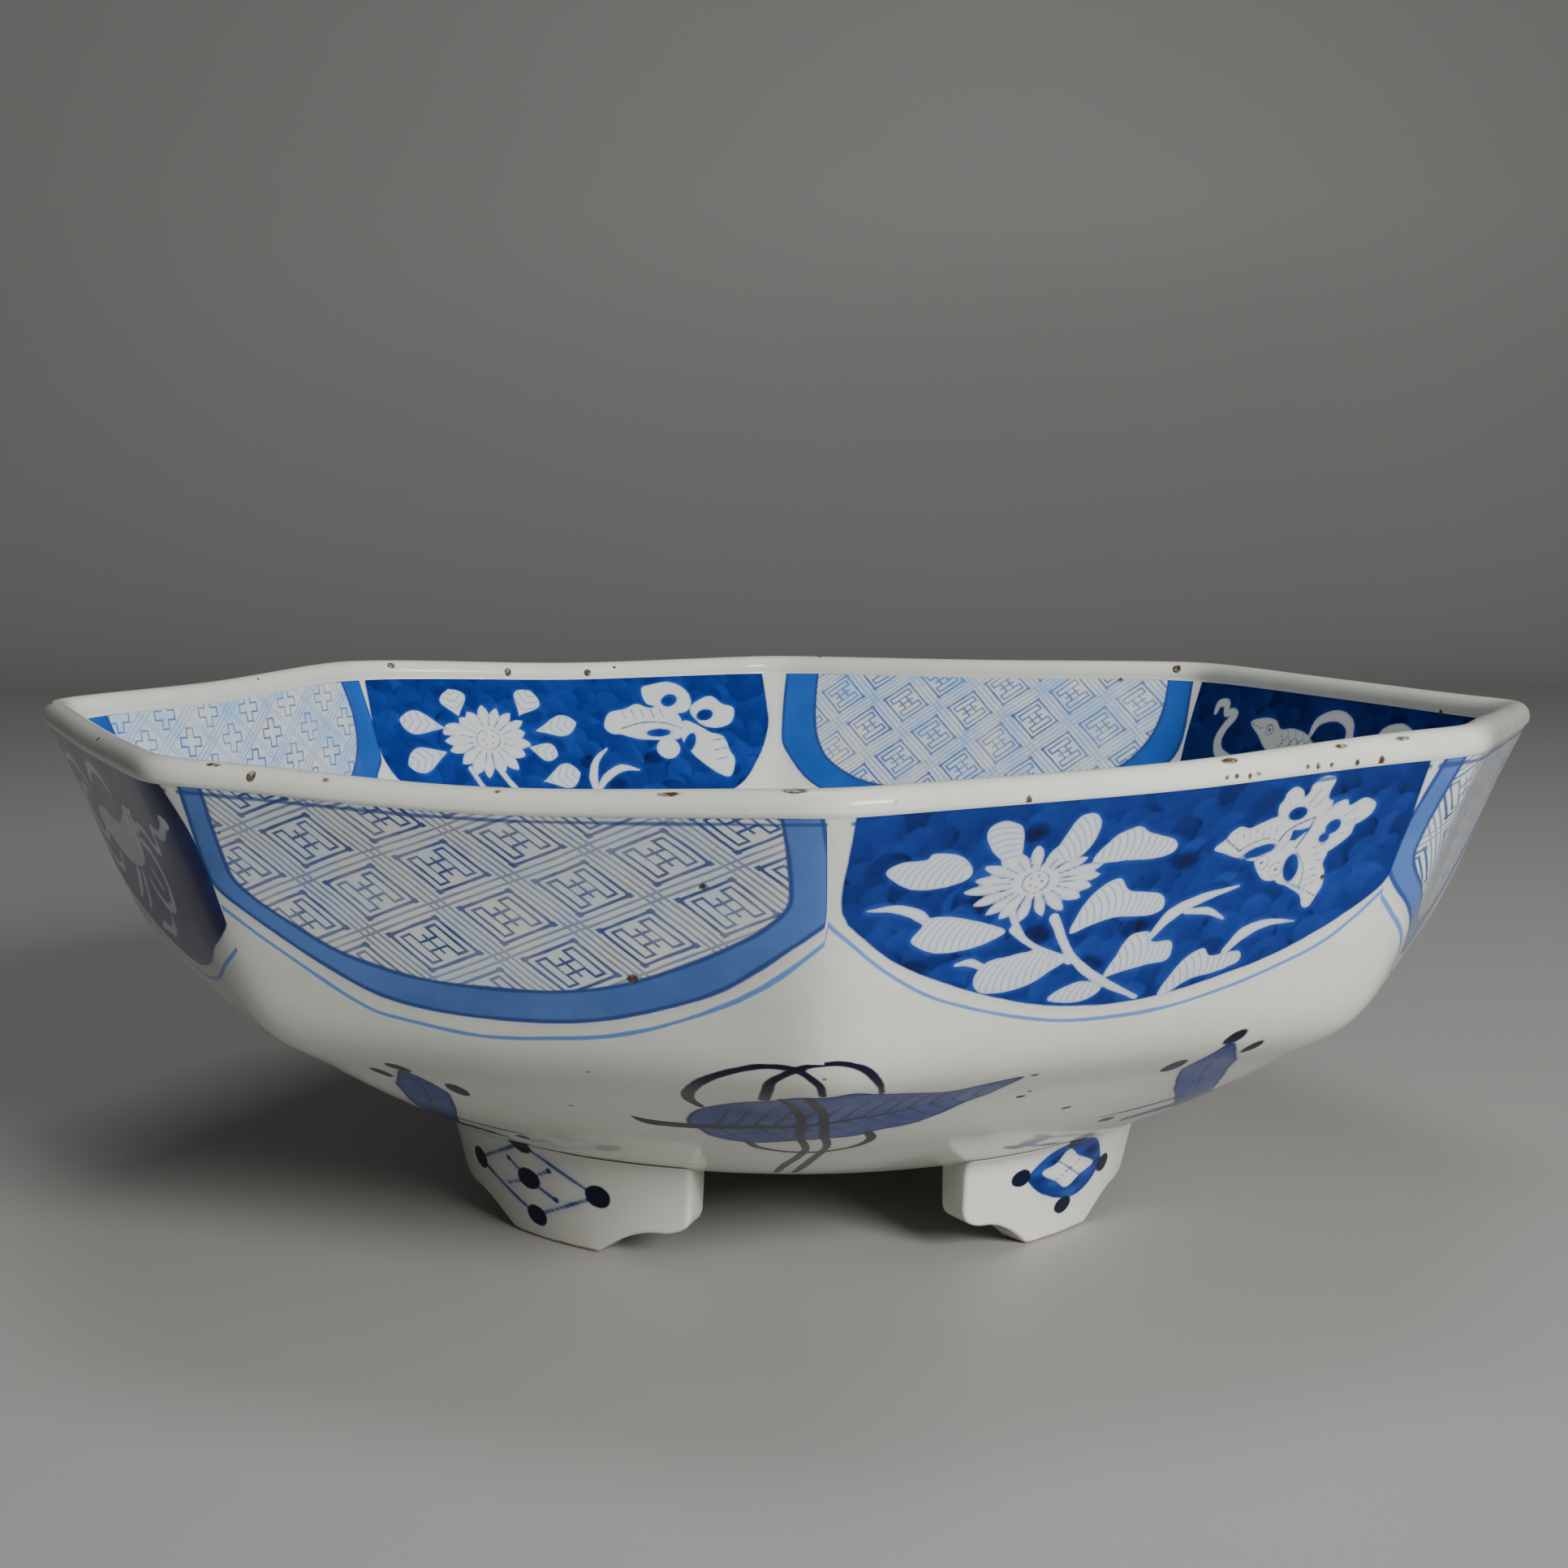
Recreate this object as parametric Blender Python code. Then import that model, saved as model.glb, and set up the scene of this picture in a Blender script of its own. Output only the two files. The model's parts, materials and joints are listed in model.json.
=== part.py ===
"""Octagonal porcelain serving bowl on four bracket feet.

The bowl stands on the plane z = 0, its axis is Z, and its eight corners lie at every 45 degrees
from -Y. A moulded octagonal wall flares from a round, shallow base. The four feet are sections of
one foot ring, luted under the corners that lie between the axes. All sizes are in millimetres
until they become coordinates.
"""

import math

import bmesh
import bpy

MM = 0.001

# Octagonal section
CORNERS = 8
CORNER_STEP = 2 * math.pi / CORNERS
CORNER_SHARPNESS = 60.0      # exponent of the rounded octagon: higher is crisper
ROUND_BELOW = 71.0           # the section is a circle inside this radius
OCTAGON_ABOVE = 146.0        # and a full octagon outside this one

# Outside of the wall at a corner: radius, height above the table
OUTLINE = (
    (0.0, 15.0), (51.0, 16.2), (80.0, 21.2), (109.0, 34.2), (131.0, 46.6),
    (147.0, 56.6), (156.2, 71.5), (165.4, 93.5), (172.6, 108.6),
)
FLOOR_THICKNESS = 7.0
WALL_THICKNESS = 5.4
LIP_RADIUS = 3.4
LIP_CENTRE = (170.0, 110.3)
LIP_DROP = math.radians(20)  # the lip's half round runs this far below its centre on both sides
LIP_STEPS = 6
STEPS_PER_SPAN = 2           # rings between two neighbouring outline points
RIM_HEIGHT = LIP_CENTRE[1] + LIP_RADIUS

# Kiln warp of the rim at each corner and each mid-side, from the front corner anticlockwise
RIM_WARP = (-2.5, -0.8, 3.2, 0.9, -1.4, -0.7, 0.3, -0.4, -0.5, -1.0, 1.2, -0.4, -0.3, -1.7, -1.7, -4.6)

# Where the rings of the wall have their points, as angles from a corner
SIDE_ANGLES = tuple(math.radians(a) for a in (0.0, 2.5, 6.0, 12.0, 22.5, 33.0, 39.0, 42.5))

# Bracket feet, cut and luted by hand: azimuth in degrees from the front corner, share of full width
FEET = {
    "foot_front_left": (-44.4, 1.10), "foot_front_right": (46.2, 0.90),
    "foot_back_right": (135.0, 1.0), "foot_back_left": (225.0, 1.0),
}
FOOT_OUTER_TOP = 82.5
FOOT_OUTER_BOTTOM = 77.5
FOOT_INNER_TOP = 71.5
FOOT_INNER_BOTTOM = 70.2
FOOT_GAP = 0.3               # clear of the underside all over the join
FOOT_TOP_FLARE = 0.06        # the foot widens by this share from table to join
PAD_HALF = math.radians(8.7)
OGEE_END = math.radians(19.0)
EAR_END = math.radians(23.6)
OGEE_RISE = 6.5
EAR_RISE = 3.7
FOOT_ROWS = 3
RING_ROWS = 3
CURVE_COLUMNS = 4            # columns of a foot over its ogee, and over its ear

GLAZE_COLOUR = (0.78, 0.80, 0.77, 1.0)
GLAZE_ROUGHNESS = 0.12
SHARP_ANGLE = math.radians(35)


def clear_scene():
    for obj in list(bpy.data.objects):
        bpy.data.objects.remove(obj, do_unlink=True)


def glaze():
    """The clear glaze over white porcelain, one material for each piece that asks."""
    material = bpy.data.materials.new("glazed_porcelain")
    material.use_nodes = True
    shader = material.node_tree.nodes["Principled BSDF"]
    shader.inputs["Base Color"].default_value = GLAZE_COLOUR
    shader.inputs["Roughness"].default_value = GLAZE_ROUGHNESS
    shader.inputs["Metallic"].default_value = 0.0
    return material


def smoothstep(low, high, value):
    share = min(max((value - low) / (high - low), 0.0), 1.0)
    return share * share * (3 - 2 * share)


def catmull_rom(before, start, end, after, share):
    """A point between start and end on the smooth curve through four numbers."""
    return 0.5 * (
        2 * start
        + (end - before) * share
        + (2 * before - 5 * start + 4 * end - after) * share ** 2
        + (3 * start - before - 3 * end + after) * share ** 3
    )


def outline_curve():
    """The outside of the wall as a smooth polyline, from the axis to the lip."""
    first, last = OUTLINE[0], OUTLINE[-1]
    mirrored = (-OUTLINE[1][0], OUTLINE[1][1])
    beyond = (2 * last[0] - OUTLINE[-2][0], 2 * last[1] - OUTLINE[-2][1])
    points = (mirrored,) + OUTLINE + (beyond,)
    curve = [first]
    for i in range(1, len(points) - 2):
        for step in range(1, STEPS_PER_SPAN + 1):
            share = step / STEPS_PER_SPAN
            radius = catmull_rom(*(p[0] for p in points[i - 1:i + 3]), share)
            height = catmull_rom(*(p[1] for p in points[i - 1:i + 3]), share)
            curve.append((radius, height))
    return curve


def underside_height(radius):
    """Height of the underside at a radius where the section is near enough round."""
    curve = outline_curve()
    for (r0, z0), (r1, z1) in zip(curve, curve[1:]):
        if r0 <= radius <= r1:
            return z0 + (z1 - z0) * (radius - r0) / (r1 - r0)
    raise ValueError(f"no underside at radius {radius}")


def inside_curve(curve):
    """The inside of the wall, a wall thickness in from the outside, from the lip to the axis."""
    widest = curve[-1][0]
    inside = []
    for i, (radius, height) in enumerate(curve[:-1]):
        before, after = curve[max(i - 1, 0)], curve[i + 1]
        run, rise = after[0] - before[0], after[1] - before[1]
        length = math.hypot(run, rise)
        thickness = FLOOR_THICKNESS + (WALL_THICKNESS - FLOOR_THICKNESS) * radius / widest
        in_radius = max(radius - rise / length * thickness, 0.0) if i else 0.0
        inside.append((in_radius, height + run / length * thickness if i else height + thickness))
    return inside[::-1]


def lip_curve():
    """The half round of the lip, over the crest from the outside to the inside."""
    start, end = -LIP_DROP, math.pi + LIP_DROP
    angles = [start + (end - start) * i / LIP_STEPS for i in range(LIP_STEPS + 1)]
    radius, height = LIP_CENTRE
    return [(radius + LIP_RADIUS * math.cos(a), height + LIP_RADIUS * math.sin(a)) for a in angles]


def octagon(azimuth):
    """Distance to a rounded octagon at an azimuth, 1 at its corners."""
    def spread(angle):
        faces = ((k + 0.5) * CORNER_STEP for k in range(CORNERS // 2))
        return sum(abs(math.cos(angle - face)) ** CORNER_SHARPNESS for face in faces)
    return (spread(0.0) / spread(azimuth)) ** (1 / CORNER_SHARPNESS)


def rim_warp(azimuth):
    """How far the kiln lifted the rim at an azimuth."""
    count = len(RIM_WARP)
    turn = (azimuth / (2 * math.pi) % 1.0) * count
    first = int(turn)
    return catmull_rom(*(RIM_WARP[(first + k) % count] for k in (-1, 0, 1, 2)), turn - first)


def place(radius, height, azimuth):
    """The coordinates of a point of the wall given at a corner, turned to an azimuth."""
    share = smoothstep(ROUND_BELOW, OCTAGON_ABOVE, radius)
    distance = radius * (1 + share * (octagon(azimuth) - 1))
    lifted = height + rim_warp(azimuth) * (height / RIM_HEIGHT) ** 3
    return MM * distance * math.sin(azimuth), -MM * distance * math.cos(azimuth), MM * lifted


def finish_object(name, mesh_data):
    mesh = bpy.data.meshes.new(name)
    bmesh.ops.recalc_face_normals(mesh_data, faces=mesh_data.faces[:])
    mesh_data.to_mesh(mesh)
    mesh_data.free()
    mesh.shade_smooth()
    mesh.set_sharp_from_angle(angle=SHARP_ANGLE)
    mesh.materials.append(glaze())
    obj = bpy.data.objects.new(name, mesh)
    bpy.context.scene.collection.objects.link(obj)
    return obj


def bridge(mesh_data, lower, upper, closed):
    """Quads between two rows of vertices, round to the first pair again if the rows are closed."""
    last = len(lower) if closed else len(lower) - 1
    for i in range(last):
        j = (i + 1) % len(lower)
        mesh_data.faces.new((lower[i], lower[j], upper[j], upper[i]))


def build_body():
    """The octagonal shell: underside, wall, lip, inside wall and floor as one closed skin."""
    outside = outline_curve()
    profile = outside[:-1] + lip_curve() + inside_curve(outside)
    azimuths = [corner * CORNER_STEP + angle for corner in range(CORNERS) for angle in SIDE_ANGLES]
    shell = bmesh.new()
    rings = [[shell.verts.new(place(r, z, a)) for a in azimuths] for r, z in profile[1:-1]]
    for lower, upper in zip(rings, rings[1:]):
        bridge(shell, lower, upper, closed=True)
    for (radius, height), ring in ((profile[0], rings[0]), (profile[-1], rings[-1])):
        centre = shell.verts.new(place(radius, height, 0.0))
        for i, vert in enumerate(ring):
            shell.faces.new((centre, vert, ring[(i + 1) % len(ring)]))
    return finish_object("bowl_body", shell)


def foot_bottom(angle):
    """Height of the bracket's lower edge at an angle from the foot's middle: pad, ogee, ear."""
    angle = abs(angle)
    if angle <= PAD_HALF:
        return 0.0
    if angle <= OGEE_END:
        return OGEE_RISE * math.sin(math.pi / 2 * (angle - PAD_HALF) / (OGEE_END - PAD_HALF))
    share = min((angle - OGEE_END) / (EAR_END - OGEE_END), 1.0)
    return OGEE_RISE + EAR_RISE * (1 - math.sqrt(1 - share * share))


def foot_angles():
    """Angles of the bracket's columns from its middle: few on the pad, more on the curves."""
    shares = [step / CURVE_COLUMNS for step in range(CURVE_COLUMNS + 1)]
    ogee = [PAD_HALF + (OGEE_END - PAD_HALF) * share for share in shares]
    ear = [OGEE_END + (EAR_END - OGEE_END) * math.sin(math.pi / 2 * share) for share in shares[1:]]
    half = [PAD_HALF / 2] + ogee + ear
    return [-a for a in reversed(half)] + [0.0] + half


def build_foot(name, azimuth_degrees, width):
    """One bracket foot: a curved section of ring whose top follows the underside."""
    middle = math.radians(azimuth_degrees)
    foot = bmesh.new()
    loops = []
    join = underside_height(FOOT_OUTER_TOP)
    for angle in foot_angles():
        bottom = foot_bottom(angle)

        def vert(radius, height):
            turned = middle + width * angle * (1 + FOOT_TOP_FLARE * height / join)
            x, y = radius * math.sin(turned), -radius * math.cos(turned)
            return foot.verts.new((MM * x, MM * y, MM * height))

        loop = []
        for row in range(FOOT_ROWS + 1):
            height = bottom + (join - FOOT_GAP - bottom) * row / FOOT_ROWS
            radius = FOOT_OUTER_BOTTOM + (FOOT_OUTER_TOP - FOOT_OUTER_BOTTOM) * height / join
            loop.append(vert(radius, height))
        for row in range(1, RING_ROWS + 1):
            radius = FOOT_OUTER_TOP + (FOOT_INNER_TOP - FOOT_OUTER_TOP) * row / RING_ROWS
            loop.append(vert(radius, underside_height(radius) - FOOT_GAP))
        inner_top = underside_height(FOOT_INNER_TOP) - FOOT_GAP
        for row in range(1, FOOT_ROWS + 1):
            height = inner_top + (bottom - inner_top) * row / FOOT_ROWS
            radius = FOOT_INNER_BOTTOM + (FOOT_INNER_TOP - FOOT_INNER_BOTTOM) * height / join
            loop.append(vert(radius, height))
        loops.append(loop)
    for one, other in zip(loops, loops[1:]):
        bridge(foot, one, other, closed=True)
    foot.faces.new(loops[0])
    foot.faces.new(list(reversed(loops[-1])))
    return finish_object(name, foot)


def main():
    clear_scene()
    build_body()
    for name, (azimuth, width) in FEET.items():
        build_foot(name, azimuth, width)


main()
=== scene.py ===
"""An octagonal porcelain serving bowl, glazed over underglaze cobalt painting.

The skin of the bowl is one closed mesh. Its painting is worked out in millimetres on the wall
itself, as the signed distance from each point of the skin to each kind of brushwork, and the
materials turn those distances into washes, lines and reserved white. Across each side of the
octagon x runs from its middle towards the next corner, and y runs down the wall from the lip.
"""

import json
import math

import bpy
import numpy as np
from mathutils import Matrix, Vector

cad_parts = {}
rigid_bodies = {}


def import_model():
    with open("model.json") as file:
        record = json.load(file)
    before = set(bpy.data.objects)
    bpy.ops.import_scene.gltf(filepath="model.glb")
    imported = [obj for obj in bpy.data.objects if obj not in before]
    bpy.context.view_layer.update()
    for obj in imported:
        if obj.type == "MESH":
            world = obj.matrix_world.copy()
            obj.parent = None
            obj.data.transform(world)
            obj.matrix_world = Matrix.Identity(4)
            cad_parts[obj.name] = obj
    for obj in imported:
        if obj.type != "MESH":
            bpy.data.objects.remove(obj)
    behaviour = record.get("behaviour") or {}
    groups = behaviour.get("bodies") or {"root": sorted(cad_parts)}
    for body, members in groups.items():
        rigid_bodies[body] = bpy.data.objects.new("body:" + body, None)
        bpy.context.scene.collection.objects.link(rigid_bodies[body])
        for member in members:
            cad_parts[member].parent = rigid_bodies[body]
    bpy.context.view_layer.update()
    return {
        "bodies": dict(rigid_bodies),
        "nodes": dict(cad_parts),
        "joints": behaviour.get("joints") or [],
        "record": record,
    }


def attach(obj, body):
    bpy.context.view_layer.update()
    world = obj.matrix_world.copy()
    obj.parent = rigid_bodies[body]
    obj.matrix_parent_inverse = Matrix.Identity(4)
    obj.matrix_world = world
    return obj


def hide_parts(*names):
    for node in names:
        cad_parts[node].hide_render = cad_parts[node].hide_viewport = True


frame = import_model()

MM = 0.001
BODY = "root"

# The section of the bowl, as the CAD has it, in millimetres
CORNERS = 8
CORNER_STEP = 2 * math.pi / CORNERS
CORNER_SHARPNESS = 60.0
ROUND_BELOW = 71.0
OCTAGON_ABOVE = 146.0
OUTLINE = (
    (0.0, 15.0), (51.0, 16.2), (80.0, 21.2), (109.0, 34.2), (131.0, 46.6),
    (147.0, 56.6), (156.2, 71.5), (165.4, 93.5), (172.6, 108.6),
)
FLOOR_THICKNESS = 7.0
WALL_THICKNESS = 5.4
LIP_RADIUS = 3.4
LIP_CENTRE = (170.0, 110.3)
LIP_DROP = math.radians(20)
RIM_HEIGHT = LIP_CENTRE[1] + LIP_RADIUS
RIM_WARP = np.array((
    -2.5, -0.8, 3.2, 0.9, -1.4, -0.7, 0.3, -0.4, -0.5, -1.0, 1.2, -0.4, -0.3, -1.7, -1.7, -4.6,
))

# Fineness of the skin
CURVE_STEPS = 60             # points in each span of the section curve
PAINTED_COLUMNS = 300        # across a side with figures, under half a millimetre apart
LATTICE_COLUMNS = 64         # across a side whose lattice is drawn by the material
BELOW_COLUMNS = 1300
FLOOR_COLUMNS = 360
PLAIN_COLUMNS = 180
WALL_ROW = 0.46
BELOW_ROW = 0.66
SLOPE_ROW = 3.0
FLOOR_ROW = 1.1
PLAIN_ROW = 4.0
LIP_ROWS = 26

# Where the zones of the skin meet: distance down the wall from the lip, or radius
OUTSIDE_PANELS_END = 53.0
INSIDE_START = 2.2
INSIDE_PANELS_END = 50.0
UNDERSIDE_RADIUS = 66.0
WELL_RADIUS = 82.0
CENTRE_RADIUS = 1.5

# How far the white strip between two panels lies from each corner, in degrees
OUTSIDE_SEAMS = (-0.1, -3.2, 0.0, 0.0, 0.0, 0.0, 0.0, 1.5)
INSIDE_SEAMS = (0.0, 0.0, 0.0, -1.3, 0.0, 0.0, 0.0, 0.0)

FAR = 40.0                   # a distance that nothing is painted at
BELOW_SCALE = 110.0          # the painting below the wall is laid out at this radius


# ---------------------------------------------------------------- section and skin of the bowl

def smoothstep(low, high, value):
    share = np.clip((value - low) / (high - low), 0.0, 1.0)
    return share * share * (3 - 2 * share)


def catmull_rom(before, start, end, after, share):
    return 0.5 * (
        2 * start
        + (end - before) * share
        + (2 * before - 5 * start + 4 * end - after) * share ** 2
        + (3 * start - before - 3 * end + after) * share ** 3
    )


def smooth_curve(points, steps, closed=False):
    """A smooth polyline through the points, with so many steps in each span."""
    points = np.asarray(points, float)
    if closed:
        ring = np.concatenate([points[-1:], points, points[:2]])
    else:
        ring = np.concatenate([2 * points[:1] - points[1:2], points, 2 * points[-1:] - points[-2:-1]])
    share = (np.arange(steps) / steps)[:, None]
    spans = [catmull_rom(*ring[i:i + 4], share) for i in range(len(ring) - 3)]
    if not closed:
        spans.append(points[-1:])
    return np.concatenate(spans)


def section_curves():
    """The outside from the lip to the axis, and the inside the same way."""
    points = np.array(OUTLINE)
    mirrored = points[1] * (-1, 1)
    beyond = 2 * points[-1] - points[-2]
    ring = np.concatenate([[mirrored], points, [beyond]])
    share = (np.arange(CURVE_STEPS) / CURVE_STEPS)[:, None]
    spans = [catmull_rom(*ring[i:i + 4], share) for i in range(len(ring) - 3)]
    outside = np.concatenate(spans + [points[-1:]])
    run, rise = np.gradient(outside, axis=0).T
    length = np.hypot(run, rise)
    thickness = FLOOR_THICKNESS + (WALL_THICKNESS - FLOOR_THICKNESS) * outside[:, 0] / outside[-1, 0]
    inside = outside + np.stack([-rise, run], 1) * (thickness / length)[:, None]
    return outside[::-1], inside[::-1]


def along(curve, distances):
    """Points at these distances along a curve."""
    steps = np.hypot(*np.diff(curve, axis=0).T)
    lengths = np.concatenate([[0.0], np.cumsum(steps)])
    return np.stack([np.interp(distances, lengths, curve[:, axis]) for axis in (0, 1)], 1)


def length_to_radius(curve, radius):
    """How far along a curve from the lip its radius has fallen to this one."""
    steps = np.hypot(*np.diff(curve, axis=0).T)
    lengths = np.concatenate([[0.0], np.cumsum(steps)])
    return float(np.interp(-radius, -curve[:, 0], lengths))


def octagon(azimuth):
    faces = (np.arange(CORNERS // 2) + 0.5) * CORNER_STEP

    def spread(angle):
        return (np.abs(np.cos(angle[..., None] - faces)) ** CORNER_SHARPNESS).sum(-1)

    return (spread(np.zeros(1)) / spread(azimuth)) ** (1 / CORNER_SHARPNESS)


def rim_warp(azimuth):
    count = len(RIM_WARP)
    turn = (azimuth / (2 * math.pi) % 1.0) * count
    first = np.floor(turn).astype(int)
    return catmull_rom(*(RIM_WARP[(first + k) % count] for k in (-1, 0, 1, 2)), turn - first)


def reach(radius, azimuth):
    """Distance from the axis of a corner radius turned to an azimuth."""
    return radius * (1 + smoothstep(ROUND_BELOW, OCTAGON_ABOVE, radius) * (octagon(azimuth) - 1))


def place(radius, height, azimuth):
    distance = reach(radius, azimuth)
    lifted = height + rim_warp(azimuth) * (height / RIM_HEIGHT) ** 3
    return np.stack([distance * np.sin(azimuth), -distance * np.cos(azimuth), lifted], -1) * MM


def seam_azimuths(seams):
    """Where each side's painting begins, and the last one ends."""
    starts = np.arange(CORNERS) * CORNER_STEP + np.radians(seams)
    return np.append(starts, starts[0] + 2 * math.pi)


def wall_azimuths():
    """Columns round the wall: even on the painted sides, closer near corners on the others."""
    columns = []
    starts = seam_azimuths(OUTSIDE_SEAMS)
    for side in range(CORNERS):
        if side % 2 == 0:
            share = np.arange(PAINTED_COLUMNS) / PAINTED_COLUMNS
        else:
            even = np.arange(LATTICE_COLUMNS) / LATTICE_COLUMNS
            share = even - 0.11 * np.sin(2 * math.pi * even)
        columns.append(starts[side] + share * (starts[side + 1] - starts[side]))
    return np.concatenate(columns)


def unfolded(radius, azimuth, side):
    """Distance across a side from its middle, carried on flat round its corners."""
    middle = (side + 0.5) * CORNER_STEP
    turned = (azimuth - middle + math.pi) % (2 * math.pi) - math.pi
    half = reach(radius, np.full_like(azimuth, side * CORNER_STEP)) * math.sin(CORNER_STEP / 2)
    direction = np.sign(turned)
    flat = reach(radius, azimuth) * np.sin(turned)
    round_corner = reach(radius, azimuth) * np.sin(turned - direction * CORNER_STEP) + direction * 2 * half
    return np.where(np.abs(turned) > CORNER_STEP / 2, round_corner, flat)


def even_azimuths(count):
    return np.arange(count) * 2 * math.pi / count


class Zone:
    """A run of rings of the skin with the same columns: where each point is, in the painting's terms."""

    def __init__(self, kind, profile, down, azimuths):
        self.kind = kind
        self.rows, self.columns = len(profile), len(azimuths)
        self.azimuth = np.tile(azimuths, (self.rows, 1))
        self.radius = np.repeat(profile[:, :1], self.columns, 1)
        self.height = np.repeat(profile[:, 1:], self.columns, 1)
        self.down = np.repeat(np.asarray(down, float)[:, None], self.columns, 1)
        self.points = place(self.radius, self.height, self.azimuth)
        starts = seam_azimuths(INSIDE_SEAMS if kind == "inside" else OUTSIDE_SEAMS)
        from_first = (self.azimuth - starts[0] + 1e-6) % (2 * math.pi) + starts[0]
        self.side = np.searchsorted(starts, from_first, side="right") - 1
        self.layers = {name: np.full(self.azimuth.shape, value) for name, value in LAYERS.items()}


def spaced(start, end, step):
    return np.linspace(start, end, max(int(round(abs(end - start) / step)), 1) + 1)


def skin_zones():
    outside, inside = section_curves()
    wall = wall_azimuths()
    zones = []

    def add(kind, curve, start, end, step, azimuths):
        down = spaced(start, end, step)
        zones.append(Zone(kind, along(curve, down), down, azimuths))

    under_start = length_to_radius(outside, UNDERSIDE_RADIUS)
    under_end = length_to_radius(outside, CENTRE_RADIUS)
    well_start = length_to_radius(inside, WELL_RADIUS)
    well_end = length_to_radius(inside, CENTRE_RADIUS)
    add("underside", outside, under_end, under_start + PLAIN_ROW, PLAIN_ROW, even_azimuths(PLAIN_COLUMNS))
    below_end = OUTSIDE_PANELS_END + BELOW_ROW
    add("below", outside, under_start, below_end, BELOW_ROW, even_azimuths(BELOW_COLUMNS))
    add("outside", outside, OUTSIDE_PANELS_END, 0.0, WALL_ROW, wall)
    angles = np.linspace(-LIP_DROP, math.pi + LIP_DROP, LIP_ROWS)
    lip = np.array(LIP_CENTRE) + LIP_RADIUS * np.stack([np.cos(angles), np.sin(angles)], 1)
    zones.append(Zone("lip", lip, np.full(LIP_ROWS, -LIP_RADIUS), wall))
    add("inside", inside, INSIDE_START + WALL_ROW, INSIDE_PANELS_END, WALL_ROW, wall)
    add("slope", inside, INSIDE_PANELS_END + WALL_ROW, well_start, SLOPE_ROW, even_azimuths(FLOOR_COLUMNS))
    add("well", inside, well_start + FLOOR_ROW, well_end, FLOOR_ROW, even_azimuths(FLOOR_COLUMNS))
    return zones


# ---------------------------------------------------------------- brushwork, as signed distances

# Each layer of the painting and what it holds where nothing is painted
LAYERS = {
    "panel": FAR,        # to the edge of a painted panel, negative inside
    "field": FAR,        # lattice sides: to the inner edge of the band; others: to the reserved white
    "outline": FAR,      # to the thin line round a panel, signed
    "line": FAR,         # to fine blue drawing
    "wash": FAR,         # to a mid-blue wash
    "ink": FAR,          # to near-black drawing
    "vein": 0.5,         # whole numbers fall on the hatching of leaves and wings
    "depth": 0.0,        # how thick the cobalt lies
    "speck": FAR,        # to a kiln speck
    "lip": FAR,          # down the wall from the lip
}


class Sheet:
    """Points to paint on: x across, y down, and the layers to mark."""

    def __init__(self, x, y, layers):
        self.x, self.y, self.layers = x, y, layers

    def join(self, layer, distance):
        self.layers[layer] = np.minimum(self.layers[layer], distance)

    def cut(self, layer, distance):
        self.layers[layer] = np.maximum(self.layers[layer], -distance)


def stroke_distance(x, y, points, widths, steps=8):
    """Signed distance to a brush stroke through the points whose width follows the widths."""
    path = smooth_curve(points, steps) if len(points) > 2 else np.asarray(points, float)
    half = np.interp(np.linspace(0, 1, len(path)), np.linspace(0, 1, len(widths)), widths) / 2
    best = np.full(x.shape, FAR)
    for (x0, y0), (x1, y1), h0, h1 in zip(path, path[1:], half, half[1:]):
        run, rise = x1 - x0, y1 - y0
        share = ((x - x0) * run + (y - y0) * rise) / max(run * run + rise * rise, 1e-9)
        share = np.clip(share, 0.0, 1.0)
        gap = np.hypot(x - x0 - share * run, y - y0 - share * rise)
        best = np.minimum(best, gap - h0 - (h1 - h0) * share)
    return best


def shape_distance(x, y, points, steps=6):
    """Signed distance to a closed smooth shape, negative inside."""
    path = smooth_curve(points, steps, closed=True) if steps > 1 else np.asarray(points, float)
    best = np.full(x.shape, FAR)
    inside = np.zeros(x.shape, bool)
    for (x0, y0), (x1, y1) in zip(path, np.roll(path, -1, axis=0)):
        run, rise = x1 - x0, y1 - y0
        share = np.clip(((x - x0) * run + (y - y0) * rise) / max(run * run + rise * rise, 1e-9), 0.0, 1.0)
        best = np.minimum(best, np.hypot(x - x0 - share * run, y - y0 - share * rise))
        if y0 != y1:
            inside ^= ((y0 > y) != (y1 > y)) & (x < x0 + run * (y - y0) / rise)
    return np.where(inside, -best, best)


def oval_distance(x, y, centre, half_width, half_height, turn=0.0):
    dx, dy = x - centre[0], y - centre[1]
    cos, sin = math.cos(math.radians(turn)), math.sin(math.radians(turn))
    along_it, across_it = dx * cos + dy * sin, dy * cos - dx * sin
    share = np.hypot(along_it / half_width, across_it / half_height)
    return (share - 1) * min(half_width, half_height)


def leaf_frame(x, y, base, tip):
    """Share of the way from base to tip, and distance to the side of that line."""
    run, rise = tip[0] - base[0], tip[1] - base[1]
    length = math.hypot(run, rise)
    share = ((x - base[0]) * run + (y - base[1]) * rise) / length ** 2
    side = ((y - base[1]) * run - (x - base[0]) * rise) / length
    return share, side, length


def leaf_distance(x, y, base, tip, width, fullest=0.6, lobes=0):
    """Signed distance to a leaf or petal that is fullest at a share of its length."""
    share, side, length = leaf_frame(x, y, base, tip)
    inner = np.clip(share, 0.0, 1.0)
    power = math.log(0.5) / math.log(fullest)
    half = width / 2 * np.sin(math.pi * inner ** power) ** 0.75
    if lobes:
        half = half * (0.86 + 0.2 * np.abs(np.sin(math.pi * lobes * inner)))
    beyond = np.maximum(-share, share - 1) * length
    return np.maximum(np.abs(side) - half, beyond) * 0.9


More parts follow.
